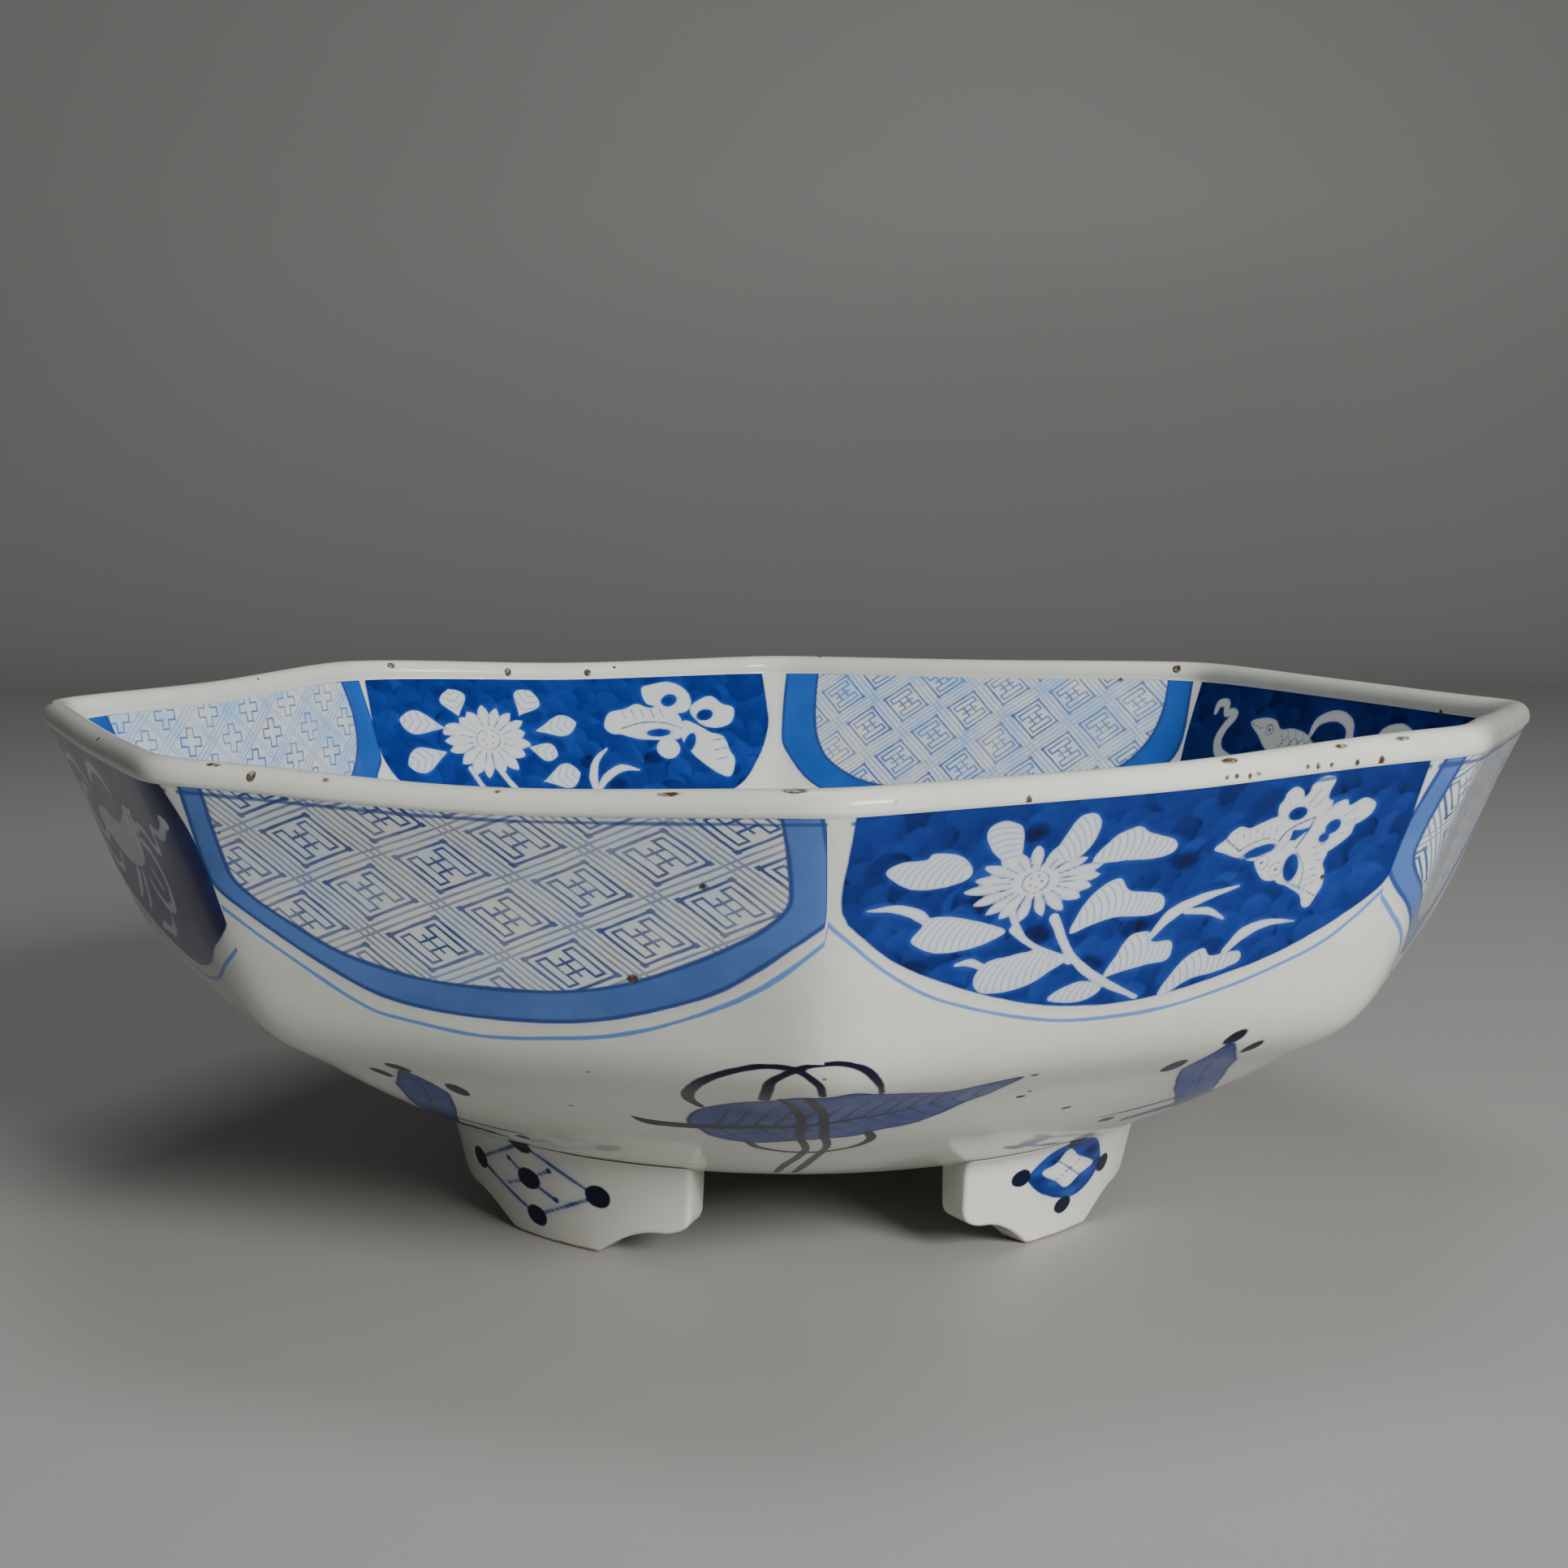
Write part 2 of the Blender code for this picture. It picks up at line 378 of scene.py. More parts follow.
def reserve_leaf(sheet, base, tip, width, fullest=0.6, lobes=0, spacing=1.7):
    """A leaf left white in the cobalt, hatched with fine slanting veins."""
    distance = leaf_distance(sheet.x, sheet.y, base, tip, width, fullest, lobes)
    sheet.join("field", distance)
    share, side, length = leaf_frame(sheet.x, sheet.y, base, tip)
    phase = (share * length - 0.7 * np.abs(side)) / spacing
    within = (distance < 0.5) & (share > 0.12)
    sheet.layers["vein"] = np.where(within, phase, sheet.layers["vein"])


def hatched_shape(sheet, outline, base, tip, spacing=1.5):
    """A white shape hatched with curved veins that slant across its midline."""
    distance = shape_distance(sheet.x, sheet.y, outline)
    sheet.join("field", distance)
    share, side, length = leaf_frame(sheet.x, sheet.y, base, tip)
    phase = (share * length + 0.5 * side + 0.09 * side * side) / spacing
    within = (distance < 0.5) & (share > 0.08)
    sheet.layers["vein"] = np.where(within, phase, sheet.layers["vein"])


def reserve_stroke(sheet, points, widths):
    sheet.join("field", stroke_distance(sheet.x, sheet.y, points, widths))


def reserve_shape(sheet, points):
    sheet.join("field", shape_distance(sheet.x, sheet.y, points))


def draw(sheet, points, width=0.5, layer="line"):
    sheet.join(layer, stroke_distance(sheet.x, sheet.y, points, (width, width)))


def chrysanthemum(sheet, centre, petals, wide, tall, width, seed):
    """A flower head of narrow white petals round an oval, with drawn seams and a dotted heart."""
    rng = np.random.default_rng(seed)
    for k in range(petals):
        angle = 2 * math.pi * (k + rng.uniform(-0.18, 0.18)) / petals
        long = rng.uniform(0.86, 1.06)
        tip = (centre[0] + wide * long * math.cos(angle), centre[1] + tall * long * math.sin(angle))
        root = (centre[0] + 1.2 * math.cos(angle), centre[1] + 1.2 * math.sin(angle))
        petal = leaf_distance(sheet.x, sheet.y, root, tip, width * rng.uniform(0.85, 1.15), 0.66)
        sheet.join("field", petal)
        seam = angle + math.pi / petals
        across, down = wide * math.cos(seam), tall * math.sin(seam)
        ends = [(centre[0] + share * across, centre[1] + share * down) for share in (0.36, 0.62)]
        draw(sheet, ends, 0.34)
    heart = 0.27 * min(wide, tall)
    sheet.join("field", oval_distance(sheet.x, sheet.y, centre, 0.42 * wide, 0.42 * tall))
    ring = np.abs(oval_distance(sheet.x, sheet.y, centre, heart * 1.2, heart)) - 0.16
    sheet.join("line", ring)
    for k in range(5):
        angle = 2 * math.pi * k / 5
        dot = (centre[0] + 0.55 * heart * math.cos(angle), centre[1] + 0.55 * heart * math.sin(angle))
        sheet.join("line", oval_distance(sheet.x, sheet.y, dot, 0.32, 0.32))


# Where the cobalt ran together and fired almost black
COBALT_POOLS = (
    (-34.5, 20.0), (-46.0, 33.0), (-2.0, 28.5), (5.5, 15.0), (-22.5, 28.0), (-10.0, 35.6), (-27.5, 6.0),
)


def cobalt_dabs(sheet, seed, spread=(-72, 72), fall=(-2, 60), size=5.4):
    """The ground of the figure panels: overlapping round dabs, each dark along its lower rim."""
    rng = np.random.default_rng(seed)
    depth = np.full(sheet.x.shape, 0.45)
    for row, y in enumerate(np.arange(fall[0], fall[1], size * 0.72)):
        for x in np.arange(spread[0] + (row % 2) * size / 2, spread[1], size * 0.86):
            cx, cy = x + rng.uniform(-1.6, 1.6), y + rng.uniform(-1.4, 1.4)
            radius = size * rng.uniform(0.62, 0.98)
            level = rng.beta(2.0, 2.6)
            turn = rng.uniform(0.2, 1.6)
            near = (np.abs(sheet.x - cx) < radius) & (np.abs(sheet.y - cy) < radius)
            if not near.any():
                continue
            dx, dy = (sheet.x[near] - cx) / radius, (sheet.y[near] - cy) / radius
            out = np.hypot(dx, dy)
            lean = (dx * math.cos(turn) + dy * math.sin(turn)) * 0.5 + 0.5
            rim = smoothstep(0.62, 0.95, out) * smoothstep(0.35, 0.8, lean)
            value = 0.30 + 0.42 * level + 0.40 * rim - 0.20 * (1 - lean)
            cover = 1 - smoothstep(0.88, 1.0, out)
            depth[near] += (value - depth[near]) * cover
    for x, y in COBALT_POOLS:
        spot = smoothstep(1.25, 0.6, np.hypot((sheet.x - x) / 3.2, (sheet.y - y) / 2.1))
        depth += 0.34 * spot
    sheet.layers["depth"] = np.clip(depth, 0.0, 1.0)


# ---------------------------------------------------------------- edges of the panels

# Lower edge of each kind of panel, from one upper corner round to the other
LATTICE_OUT_EDGE = (
    (-59.5, -3), (-59.6, 8), (-59.5, 17), (-58.6, 21.5), (-55.5, 25.2), (-50, 29.5), (-40, 37), (-28, 44.2),
    (-15, 47), (0, 47.5), (14, 46.4), (28, 42.7), (42, 37), (55, 28), (59, 25), (62.8, 21.8), (64.2, 19),
    (64.7, 8), (64.8, -3),
)
LATTICE_OUT_FIELD = (
    (-54.3, -3), (-54.4, 8), (-54, 15.5), (-53.2, 19.8), (-50.5, 23.2), (-45.6, 27), (-35.6, 33.6),
    (-26.5, 37), (-18, 39), (-6.5, 39.8), (8, 39.5), (21, 37.3), (35, 32), (47, 26), (52, 22.6), (55.6, 19),
    (56.8, 15), (57.4, 7), (57.5, -3),
)
LATTICE_OUT_LINE = (
    (-69, 15), (-61.5, 23.5), (-57.5, 27), (-45, 37), (-32, 47), (-24, 49.5), (-9, 52), (6, 51), (19, 49),
    (33.5, 44), (49, 36), (62.5, 25), (65.5, 21.5), (72, 14),
)
FIGURE_OUT_EDGE = (
    (-62.5, -3), (-61.5, 17), (-60, 21.5), (-58.4, 23.6), (-51, 30), (-42, 35), (-31, 39.5), (-17.5, 43.6),
    (-3, 45), (8, 44), (19, 41.4), (30.7, 37.7), (40.7, 33), (50, 27), (53, 23.6), (54.4, 17), (54.8, -3),
)
FIGURE_OUT_LINE = (
    (-71, 13), (-63.5, 21.4), (-60, 25), (-52, 32), (-42, 38.6), (-31, 43), (-17.5, 46.8), (-6.5, 48),
    (7, 47.5), (19, 45), (31, 41), (42.5, 35.5), (52, 27), (57.5, 21),
    (64, 13),
)
BIRD_OUT_EDGE = (
    (-62.5, -3), (-62.6, 6), (-62.5, 15), (-61.5, 24), (-58.5, 31), (-50, 38), (-37, 44), (-18, 48), (0, 49),
    (18, 48), (37, 44), (50, 38.5), (59.8, 32), (63, 25), (64.5, 17), (64.3, 8), (64, -3),
)
BIRD_OUT_LINE = (
    (-71, 17), (-65, 26), (-61, 33.5), (-52, 41), (-38, 47), (-18, 51), (0, 52), (18, 51), (38, 47),
    (52, 41.5), (62.5, 34), (67, 25.5), (72, 17),
)
LATTICE_IN_EDGE = (
    (-64.5, -3), (-63.2, 20), (-58, 29), (-50, 37), (-36, 43), (-18, 46), (0, 46.6), (18, 45.5), (34, 42.5),
    (47, 37.5), (56, 28), (58.5, 20), (60, -3),
)
LATTICE_IN_FIELD = (
    (-57, -3), (-56, 12), (-52, 22), (-45, 29), (-33, 35), (-17, 38.3), (0, 39), (17, 38), (31, 36), (41, 31),
    (46, 25), (48.6, 16), (50, -3),
)
FIGURE_IN_EDGE = (
    (-61, -3), (-60.5, 10), (-59.5, 20), (-55, 30), (-47, 38.5), (-32, 43), (-16, 45.5), (0, 46), (18, 44.5),
    (36, 41), (48, 36), (56, 31.5), (60.5, 22), (61.5, 12), (62, -3),
)


def edge_distance(x, y, edge):
    """Signed distance to a panel's edge, negative inside: the panel is open at its top."""
    path = smooth_curve(edge, 4)
    closed = np.concatenate([path, [(path[-1, 0], -FAR), (path[0, 0], -FAR)]])
    return shape_distance(x, y, closed, steps=1)


# ---------------------------------------------------------------- figures on the outside

FLOWER_LEAVES = (
    ((-54.5, 12.4), (-52.3, 10.4), (-47.5, 10.1), (-46.3, 8.9), (-41.7, 9.5), (-38.9, 11.6), (-38.0, 13.9),
     (-39.9, 15.4), (-44.7, 16.3), (-49.7, 15.8)),
    ((-36.8, 6.1), (-36.3, 4.0), (-33.7, 3.1), (-30.4, 4.5), (-29.4, 7.3), (-29.0, 12.0), (-31.6, 12.0),
     (-34.7, 9.6)),
    ((-22.4, 12.2), (-20.7, 6.5), (-18.9, 3.3), (-15.8, 3.2), (-14.4, 5.9), (-15.5, 10.2), (-19.0, 13.2)),
    ((-14.0, 13.4), (-10.8, 8.5), (-7.6, 6.9), (-5.9, 6.7), (-3.4, 8.3), (2.0, 10.3), (2.7, 12.6),
     (-0.7, 13.8), (-7.2, 13.7)),
    ((-47.2, 26.7), (-45.6, 24.2), (-44.9, 22.6), (-40.4, 22.5), (-34.0, 24.2), (-29.0, 26.2), (-30.2, 27.7),
     (-35.0, 29.4), (-41.0, 29.9), (-45.3, 28.4)),
    ((-33.1, 36.1), (-31.3, 32.9), (-27.3, 32.0), (-21.1, 31.3), (-15.0, 33.6), (-18.0, 36.1), (-21.6, 38.5),
     (-26.6, 39.6), (-31.4, 39.1)),
    ((-16.6, 42.4), (-13.8, 39.9), (-9.8, 39.0), (-6.0, 40.7), (-7.6, 42.9), (-11.8, 43.6)),
    ((-15.4, 28.1), (-13.6, 22.3), (-10.7, 18.9), (-7.3, 17.6), (-4.6, 20.4), (1.9, 21.7), (3.3, 24.6),
     (0.7, 25.9), (-6.4, 25.7), (-11.5, 26.9)),
    ((-5.9, 38.2), (-4.4, 34.1), (-2.2, 30.0), (1.4, 29.7), (2.6, 31.8), (6.8, 32.2), (7.0, 35.9),
     (2.8, 36.6), (-2.5, 37.7)),
    ((7.0, 43.9), (9.0, 39.0), (11.5, 35.9), (14.5, 34.6), (16.6, 36.4), (22.3, 36.0), (23.0, 38.4),
     (18.4, 40.1), (13.0, 41.2), (9.2, 43.7)),
)
# The ends of each leaf's midline, from its stalk
LEAF_LINES = (
    ((-38.0, 13.6), (-54.5, 12.4)), ((-29.4, 12.0), (-35.0, 3.4)), ((-21.4, 12.8), (-16.4, 3.0)),
    ((-14.0, 13.4), (2.0, 10.0)), ((-29.2, 26.4), (-46.6, 25.6)), ((-15.2, 33.6), (-32.8, 37.4)),
    ((-6.2, 40.9), (-16.2, 42.2)), ((-15.0, 27.8), (0.6, 20.0)), ((-5.4, 38.0), (5.4, 30.8)),
    ((7.4, 43.6), (20.4, 35.4)),
)


def outside_flowers(sheet, seed):
    cobalt_dabs(sheet, seed)
    chrysanthemum(sheet, (-24.8, 16.6), 19, 13.6, 8.2, 2.2, seed + 1)
    for outline, (base, tip) in zip(FLOWER_LEAVES, LEAF_LINES):
        hatched_shape(sheet, outline, base, tip)
    for points, widths in (
        (((-19.3, 24.6), (-14.4, 32.6), (-7.8, 38.3), (2.2, 43.9)), (1.9, 1.5, 1.9, 0.9)),
        (((-27.2, 26.3), (-22.5, 30.1), (-14.1, 34.2)), (1.5, 1.0, 1.4)),
        (((-28.4, 20.5), (-27.6, 24.0), (-24.8, 28.4)), (1.5, 1.2, 1.0)),
        (((-56.6, 19.9), (-51.2, 19.9), (-46.4, 21.8), (-43.0, 25.0)), (0.4, 1.5, 2.2, 0.8)),
        (((-37.4, 32.7), (-34.6, 32.5), (-31.4, 33.9)), (0.5, 1.6, 1.2)),
        (((2.2, 30.6), (5.4, 26.4), (11.2, 23.7), (19.0, 21.9)), (1.2, 2.5, 1.9, 0.4)),
        (((8.6, 26.1), (13.2, 26.5), (17.2, 28.5)), (1.1, 1.5, 0.4)),
        (((19.4, 35.6), (22.6, 32.2), (27.3, 30.6), (33.4, 30.8)), (1.4, 2.5, 1.5, 0.3)),
    ):
        reserve_stroke(sheet, points, widths)
    butterfly(sheet)


def butterfly(sheet):
    """Two scalloped fore wings, two hind wings with long lobes, and a pointed body between them."""
    for outline in (
        ((11.3, 13.4), (13.3, 11.5), (14.1, 10.1), (15.8, 9.2), (17.8, 9.8), (20.2, 8.9), (23.2, 8.1),
         (24.8, 8.8), (27.2, 10.0), (27.4, 13.5), (24.6, 16.4), (20.7, 16.9), (17.0, 15.9), (14.2, 14.7)),
        ((23.7, 8.2), (22.9, 6.0), (23.6, 4.4), (23.8, 3.2), (25.3, 2.1), (27.2, 3.0), (28.0, 4.7),
         (28.8, 3.6), (29.2, 2.0), (31.1, 0.7), (33.8, 1.3), (33.4, 4.1), (33.6, 5.5), (34.9, 6.5),
         (33.5, 9.2), (31.1, 11.2), (27.0, 11.0)),
        ((32.4, 9.2), (35.9, 6.6), (38.0, 6.3), (39.0, 7.5), (42.1, 6.3), (44.8, 7.7), (44.5, 9.9),
         (42.5, 11.3), (41.4, 11.8), (41.1, 13.8), (39.2, 15.4), (36.6, 16.9), (34.2, 15.2), (31.4, 12.0)),
        ((28.0, 14.6), (31.5, 11.9), (34.4, 13.6), (36.8, 16.8), (36.6, 19.2), (37.5, 21.2), (37.8, 23.8),
         (37.1, 25.7), (35.9, 28.0), (34.4, 27.8), (33.2, 25.4), (30.0, 23.4), (26.6, 21.6), (26.8, 18.0)),
        ((21.0, 17.4), (22.0, 15.9), (25.0, 15.2), (28.2, 16.6), (28.4, 20.2), (26.4, 21.6), (23.6, 21.0)),
    ):
        reserve_shape(sheet, outline)
    for centre, wide, tall, turn in (
        ((27.6, 7.9), 2.1, 1.45, 0), ((36.6, 11.6), 1.7, 1.5, -30), ((35.2, 13.8), 1.2, 1.0, 0),
        ((21.4, 15.0), 3.6, 1.15, -12), ((29.5, 19.4), 1.7, 3.0, -8),
    ):
        sheet.cut("field", oval_distance(sheet.x, sheet.y, centre, wide, tall, turn))
    for centre, radius in (((26.0, 16.4), 1.25), ((27.9, 14.9), 1.3)):
        sheet.join("field", oval_distance(sheet.x, sheet.y, centre, radius, radius))
    for points, width in (
        (((17.1, 14.4), (18.6, 13.4), (21.6, 12.6), (24.3, 12.8)), 0.4),
        (((29.8, 16.2), (31.9, 18.7), (32.7, 21.4), (32.5, 24.0)), 0.4),
        (((13.3, 11.6), (16.9, 14.5)), 0.5), (((29.8, 22.6), (33.1, 24.1), (36.6, 25.9)), 0.4),
        (((25.1, 13.4), (27.0, 11.0), (31.9, 9.0)), 0.45), (((31.9, 9.0), (31.2, 11.8), (29.4, 15.4)), 0.45),
    ):
        draw(sheet, points, width)
    for x in (15.4, 16.8, 18.2, 19.6, 21.0, 22.4, 23.8):
        draw(sheet, ((x, 10.2 - 0.06 * (x - 15)), (x + 0.3, 12.2)), 0.24)
    for y in (15.6, 17.2, 18.8, 20.4, 22.0, 23.4):
        draw(sheet, ((33.2 + 0.05 * (y - 15), y + 0.1), (36.0, y - 0.5)), 0.24)
    for start, end in (
        ((24.4, 4.2), (25.6, 6.2)), ((29.4, 6.2), (31.4, 3.0)), ((30.6, 7.2), (33.0, 5.0)),
        ((34.0, 8.2), (36.4, 6.8)),
        ((38.4, 9.6), (41.0, 8.2)), ((39.2, 11.6), (42.0, 10.2)), ((38.8, 13.4), (40.8, 13.0)),
        ((26.6, 12.4), (28.4, 12.0)), ((28.0, 11.4), (30.0, 11.2)),
    ):
        draw(sheet, (start, end), 0.24)
    for centre in ((26.2, 19.4), (22.6, 17.6)):
        sheet.join("line", oval_distance(sheet.x, sheet.y, centre, 0.4, 0.4))
        sheet.join("line", np.abs(np.hypot(sheet.x - centre[0], sheet.y - centre[1]) - 1.5) - 0.13)


def outside_bird(sheet, seed):
    """A crested bird with a scaled body, curling plumes and a knotted ribbon."""
    cobalt_dabs(sheet, seed)
    sheet.layers["depth"] = np.clip(sheet.layers["depth"] * 0.55 + 0.42, 0, 1)
    reserve_shape(sheet, (
        (14.5, 14.0), (10.0, 13.0), (2.0, 15.5), (-6.0, 18.0), (-14.0, 18.5), (-24.0, 17.0), (-34.0, 18.0),
        (-38.0, 22.0), (-30.0, 26.0), (-20.0, 28.5), (-10.0, 28.6), (0.0, 27.6), (8.0, 25.0), (13.0, 20.5),
    ))
    for points, widths in (
        (((-23.0, 10.0), (-14.0, 5.4), (-5.0, 4.6), (1.0, 7.4), (1.6, 10.6)), (1.2, 2.6, 2.8, 2.4, 1.0)),
        (((16.0, 17.4), (22.0, 15.0), (28.0, 15.6), (33.0, 18.6), (38.0, 17.8), (41.0, 13.0), (47.0, 13.6),
          (52.0, 12.6), (57.0, 9.6)), (1.0, 2.0, 2.2, 2.0, 2.4, 1.8, 2.2, 2.4, 2.0)),
        (((13.0, 19.0), (20.0, 19.6), (26.0, 23.0), (27.6, 28.0), (23.0, 33.0), (14.0, 35.0), (7.0, 33.0),
          (3.4, 29.6)), (1.2, 2.2, 2.8, 3.0, 2.8, 2.4, 2.6, 1.4)),
        (((13.4, 26.0), (16.0, 28.6), (19.0, 30.4)), (1.0, 2.0, 1.0)),
        (((12.4, 36.6), (8.0, 40.6), (0.0, 43.4), (-8.0, 43.6), (-16.0, 45.4)), (0.8, 1.8, 2.6, 3.0, 0.6)),
        (((-36.0, 24.0), (-42.0, 27.0), (-48.0, 24.0), (-49.0, 18.0), (-44.0, 14.0), (-38.0, 15.6)),
         (2.0, 2.2, 2.4, 2.4, 2.2, 1.0)),
        (((-30.0, 29.0), (-36.0, 33.6), (-44.0, 33.0), (-50.0, 28.6)), (1.0, 2.0, 2.2, 0.6)),
        (((-10.0, 30.0), (-18.0, 35.0), (-28.0, 40.0)), (2.6, 2.6, 0.6)),
        (((-4.0, 30.0), (-12.0, 37.0), (-22.0, 42.0)), (2.2, 2.0, 0.5)),
        (((-52.0, 8.0), (-44.0, 6.4), (-36.0, 9.0), (-31.0, 14.0)), (0.8, 2.4, 2.4, 1.6)),
    ):
        reserve_stroke(sheet, points, widths)
    sheet.join("field", oval_distance(sheet.x, sheet.y, (57.0, 9.4), 1.9, 1.7))
    sheet.join("field", oval_distance(sheet.x, sheet.y, (14.0, 14.4), 5.2, 3.4, -12))
    reserve_stroke(sheet, ((17.0, 12.8), (21.5, 11.2)), (2.2, 0.5))
    scales(sheet, (-34.0, 8.0), (15.5, 28.0), 3.1)
    eye(sheet, (14.6, 14.0))


def scales(sheet, x_range, y_range, pitch):
    """Rows of drawn arcs over a body."""
    for row, y in enumerate(np.arange(y_range[0], y_range[1], pitch * 0.62)):
        for x in np.arange(x_range[0] + (row % 2) * pitch / 2, x_range[1], pitch):
            gap = np.abs(np.hypot(sheet.x - x, sheet.y - y) - pitch * 0.5) - 0.17
            gap = np.maximum(gap, sheet.x - x)
            sheet.join("line", gap)


def eye(sheet, centre):
    ring = np.abs(np.hypot(sheet.x - centre[0], sheet.y - centre[1]) - 1.5) - 0.2
    sheet.join("line", ring)
    sheet.join("line", oval_distance(sheet.x, sheet.y, centre, 0.6, 0.6))


# ---------------------------------------------------------------- figures on the inside

def inside_flowers(sheet, seed):
    cobalt_dabs(sheet, seed)
    sheet.layers["depth"] = sheet.layers["depth"] * 0.8
    chrysanthemum(sheet, (27.7, 21.0), 17, 12.5, 11.0, 3.4, seed + 1)
    for base, tip, width, lobes in (
        ((40.0, 17.4), (53.0, 14.6), 7.0, 0), ((35.6, 14.0), (37.4, 5.6), 7.6, 0),
        ((17.6, 13.8), (13.0, 6.0), 8.0, 0), ((13.4, 18.6), (0.6, 16.2), 6.4, 0),
        ((16.0, 23.4), (7.4, 26.0), 5.4, 0), ((12.8, 34.0), (1.4, 31.6), 7.4, 0),
        ((40.0, 24.4), (52.0, 28.0), 7.4, 0), ((30.0, 41.0), (42.0, 38.0), 5.4, 1),
    ):
        reserve_leaf(sheet, base, tip, width, 0.66, lobes, 2.3)
    for points, widths in (
        (((26.0, 29.0), (22.0, 35.0), (15.0, 42.0)), (1.6, 1.4, 0.8)),
        (((34.0, 29.5), (30.0, 36.0), (23.0, 40.0)), (1.3, 1.2, 0.8)),
        (((-7.8, 24.6), (-4.2, 28.0), (-2.6, 33.0), (-3.0, 38.0)), (0.5, 1.8, 2.6, 1.6)),
        (((-17.0, 31.6), (-11.5, 30.8), (-6.5, 33.6), (-3.6, 37.4)), (0.4, 2.2, 2.4, 1.2)),
        (((40.0, 18.6), (36.6, 19.4)), (1.6, 1.2)),
    ):
        reserve_stroke(sheet, points, widths)
    for points in (
        ((-8.0, 17.6), (-10.0, 13.6), (-15.0, 12.4), (-19.0, 11.0), (-23.0, 12.4), (-27.0, 11.8),
         (-31.0, 14.0), (-33.0, 19.0), (-31.0, 22.4), (-25.0, 22.6), (-18.0, 22.0), (-13.0, 20.4),
         (-10.0, 20.0)),
        ((-22.0, 10.6), (-21.4, 6.0), (-25.0, 4.8), (-29.0, 4.2), (-33.0, 5.2), (-36.0, 8.4), (-36.0, 12.4),
         (-33.0, 14.4), (-28.0, 13.6), (-25.0, 12.0)),
        ((-35.6, 14.0), (-38.0, 11.0), (-43.0, 9.4), (-46.0, 12.0), (-49.6, 13.6), (-48.6, 17.6),
         (-46.0, 19.2), (-42.0, 19.6), (-38.0, 18.0)),
        ((-33.0, 17.0), (-37.0, 18.4), (-41.0, 21.0), (-45.0, 22.6), (-46.4, 27.0), (-47.6, 30.0),
         (-45.6, 34.8), (-42.0, 34.0), (-37.0, 30.0), (-33.0, 25.4), (-31.6, 21.4)),
    ):
        reserve_shape(sheet, points)
    sheet.join("field", oval_distance(sheet.x, sheet.y, (-27.0, 25.4), 3.6, 3.2))
    for centre, wide, tall, turn in (
        ((-29.4, 10.2), 2.8, 1.9, 20), ((-40.0, 15.4), 2.8, 1.8, 15), ((-24.6, 20.4), 4.0, 1.3, 0),
        ((-34.0, 24.0), 1.7, 3.4, -30),
    ):
        sheet.cut("field", oval_distance(sheet.x, sheet.y, centre, wide, tall, turn))
    for x in (-14.0, -17.0, -20.0, -23.0, -26.0):
        draw(sheet, ((x, 12.8), (x - 0.8, 15.6)), 0.4)
    draw(sheet, ((-13.0, 18.6), (-20.0, 17.0), (-27.0, 17.4), (-32.0, 19.4)), 0.5)
    for y in (23.0, 26.0, 29.0):
        draw(sheet, ((-45.6, y), (-41.6, y + 0.6)), 0.4)


def inside_bird(sheet, seed):
    cobalt_dabs(sheet, seed)
    sheet.layers["depth"] = np.clip(sheet.layers["depth"] * 0.7 + 0.22, 0, 1)
    reserve_shape(sheet, (
        (31.5, 12.4), (26.0, 10.6), (21.0, 10.8), (17.6, 13.0), (12.0, 12.4), (6.0, 13.4), (0.0, 16.6),
        (-8.0, 19.0), (-18.0, 21.0), (-26.0, 25.0), (-20.0, 29.0), (-8.0, 28.0), (4.0, 25.6), (14.0, 22.0),
        (21.0, 19.4), (26.0, 16.0),
    ))
    for points, widths in (
        (((4.6, 13.6), (3.4, 9.6), (-1.0, 7.4), (-6.0, 7.4), (-10.0, 9.6), (-11.8, 14.0), (-15.0, 19.0)),
         (1.4, 2.8, 3.2, 3.2, 3.0, 2.8, 1.6)),
        (((-22.0, 13.0), (-24.0, 9.6), (-29.0, 8.2), (-34.0, 10.0), (-36.4, 15.0), (-33.0, 21.0)),
         (1.2, 2.6, 3.0, 3.0, 2.6, 1.4)),
        (((49.0, 11.0), (48.6, 8.4), (45.4, 8.2), (44.0, 10.8), (41.6, 10.4), (40.0, 11.4), (42.4, 15.0),
          (43.4, 19.0), (41.0, 22.4), (35.0, 23.4)), (1.6, 2.6, 2.6, 2.2, 2.6, 3.0, 3.0, 3.4, 3.2, 1.6)),
        (((35.0, 25.0), (28.0, 29.0), (16.0, 31.0), (4.0, 33.6), (-8.0, 38.0)), (0.8, 2.4, 2.8, 2.6, 0.6)),
        (((-30.0, 26.0), (-40.0, 28.0), (-47.0, 24.0), (-46.0, 17.0), (-41.0, 15.0)),
         (1.8, 2.6, 2.8, 2.6, 1.0)),
    ):
        reserve_stroke(sheet, points, widths)
    scales(sheet, (-20.0, 17.0), (14.5, 27.0), 3.2)
    eye(sheet, (22.3, 13.8))
    draw(sheet, ((31.0, 12.6), (27.0, 13.6), (25.2, 13.4)), 0.4)


# ---------------------------------------------------------------- painting under the wall

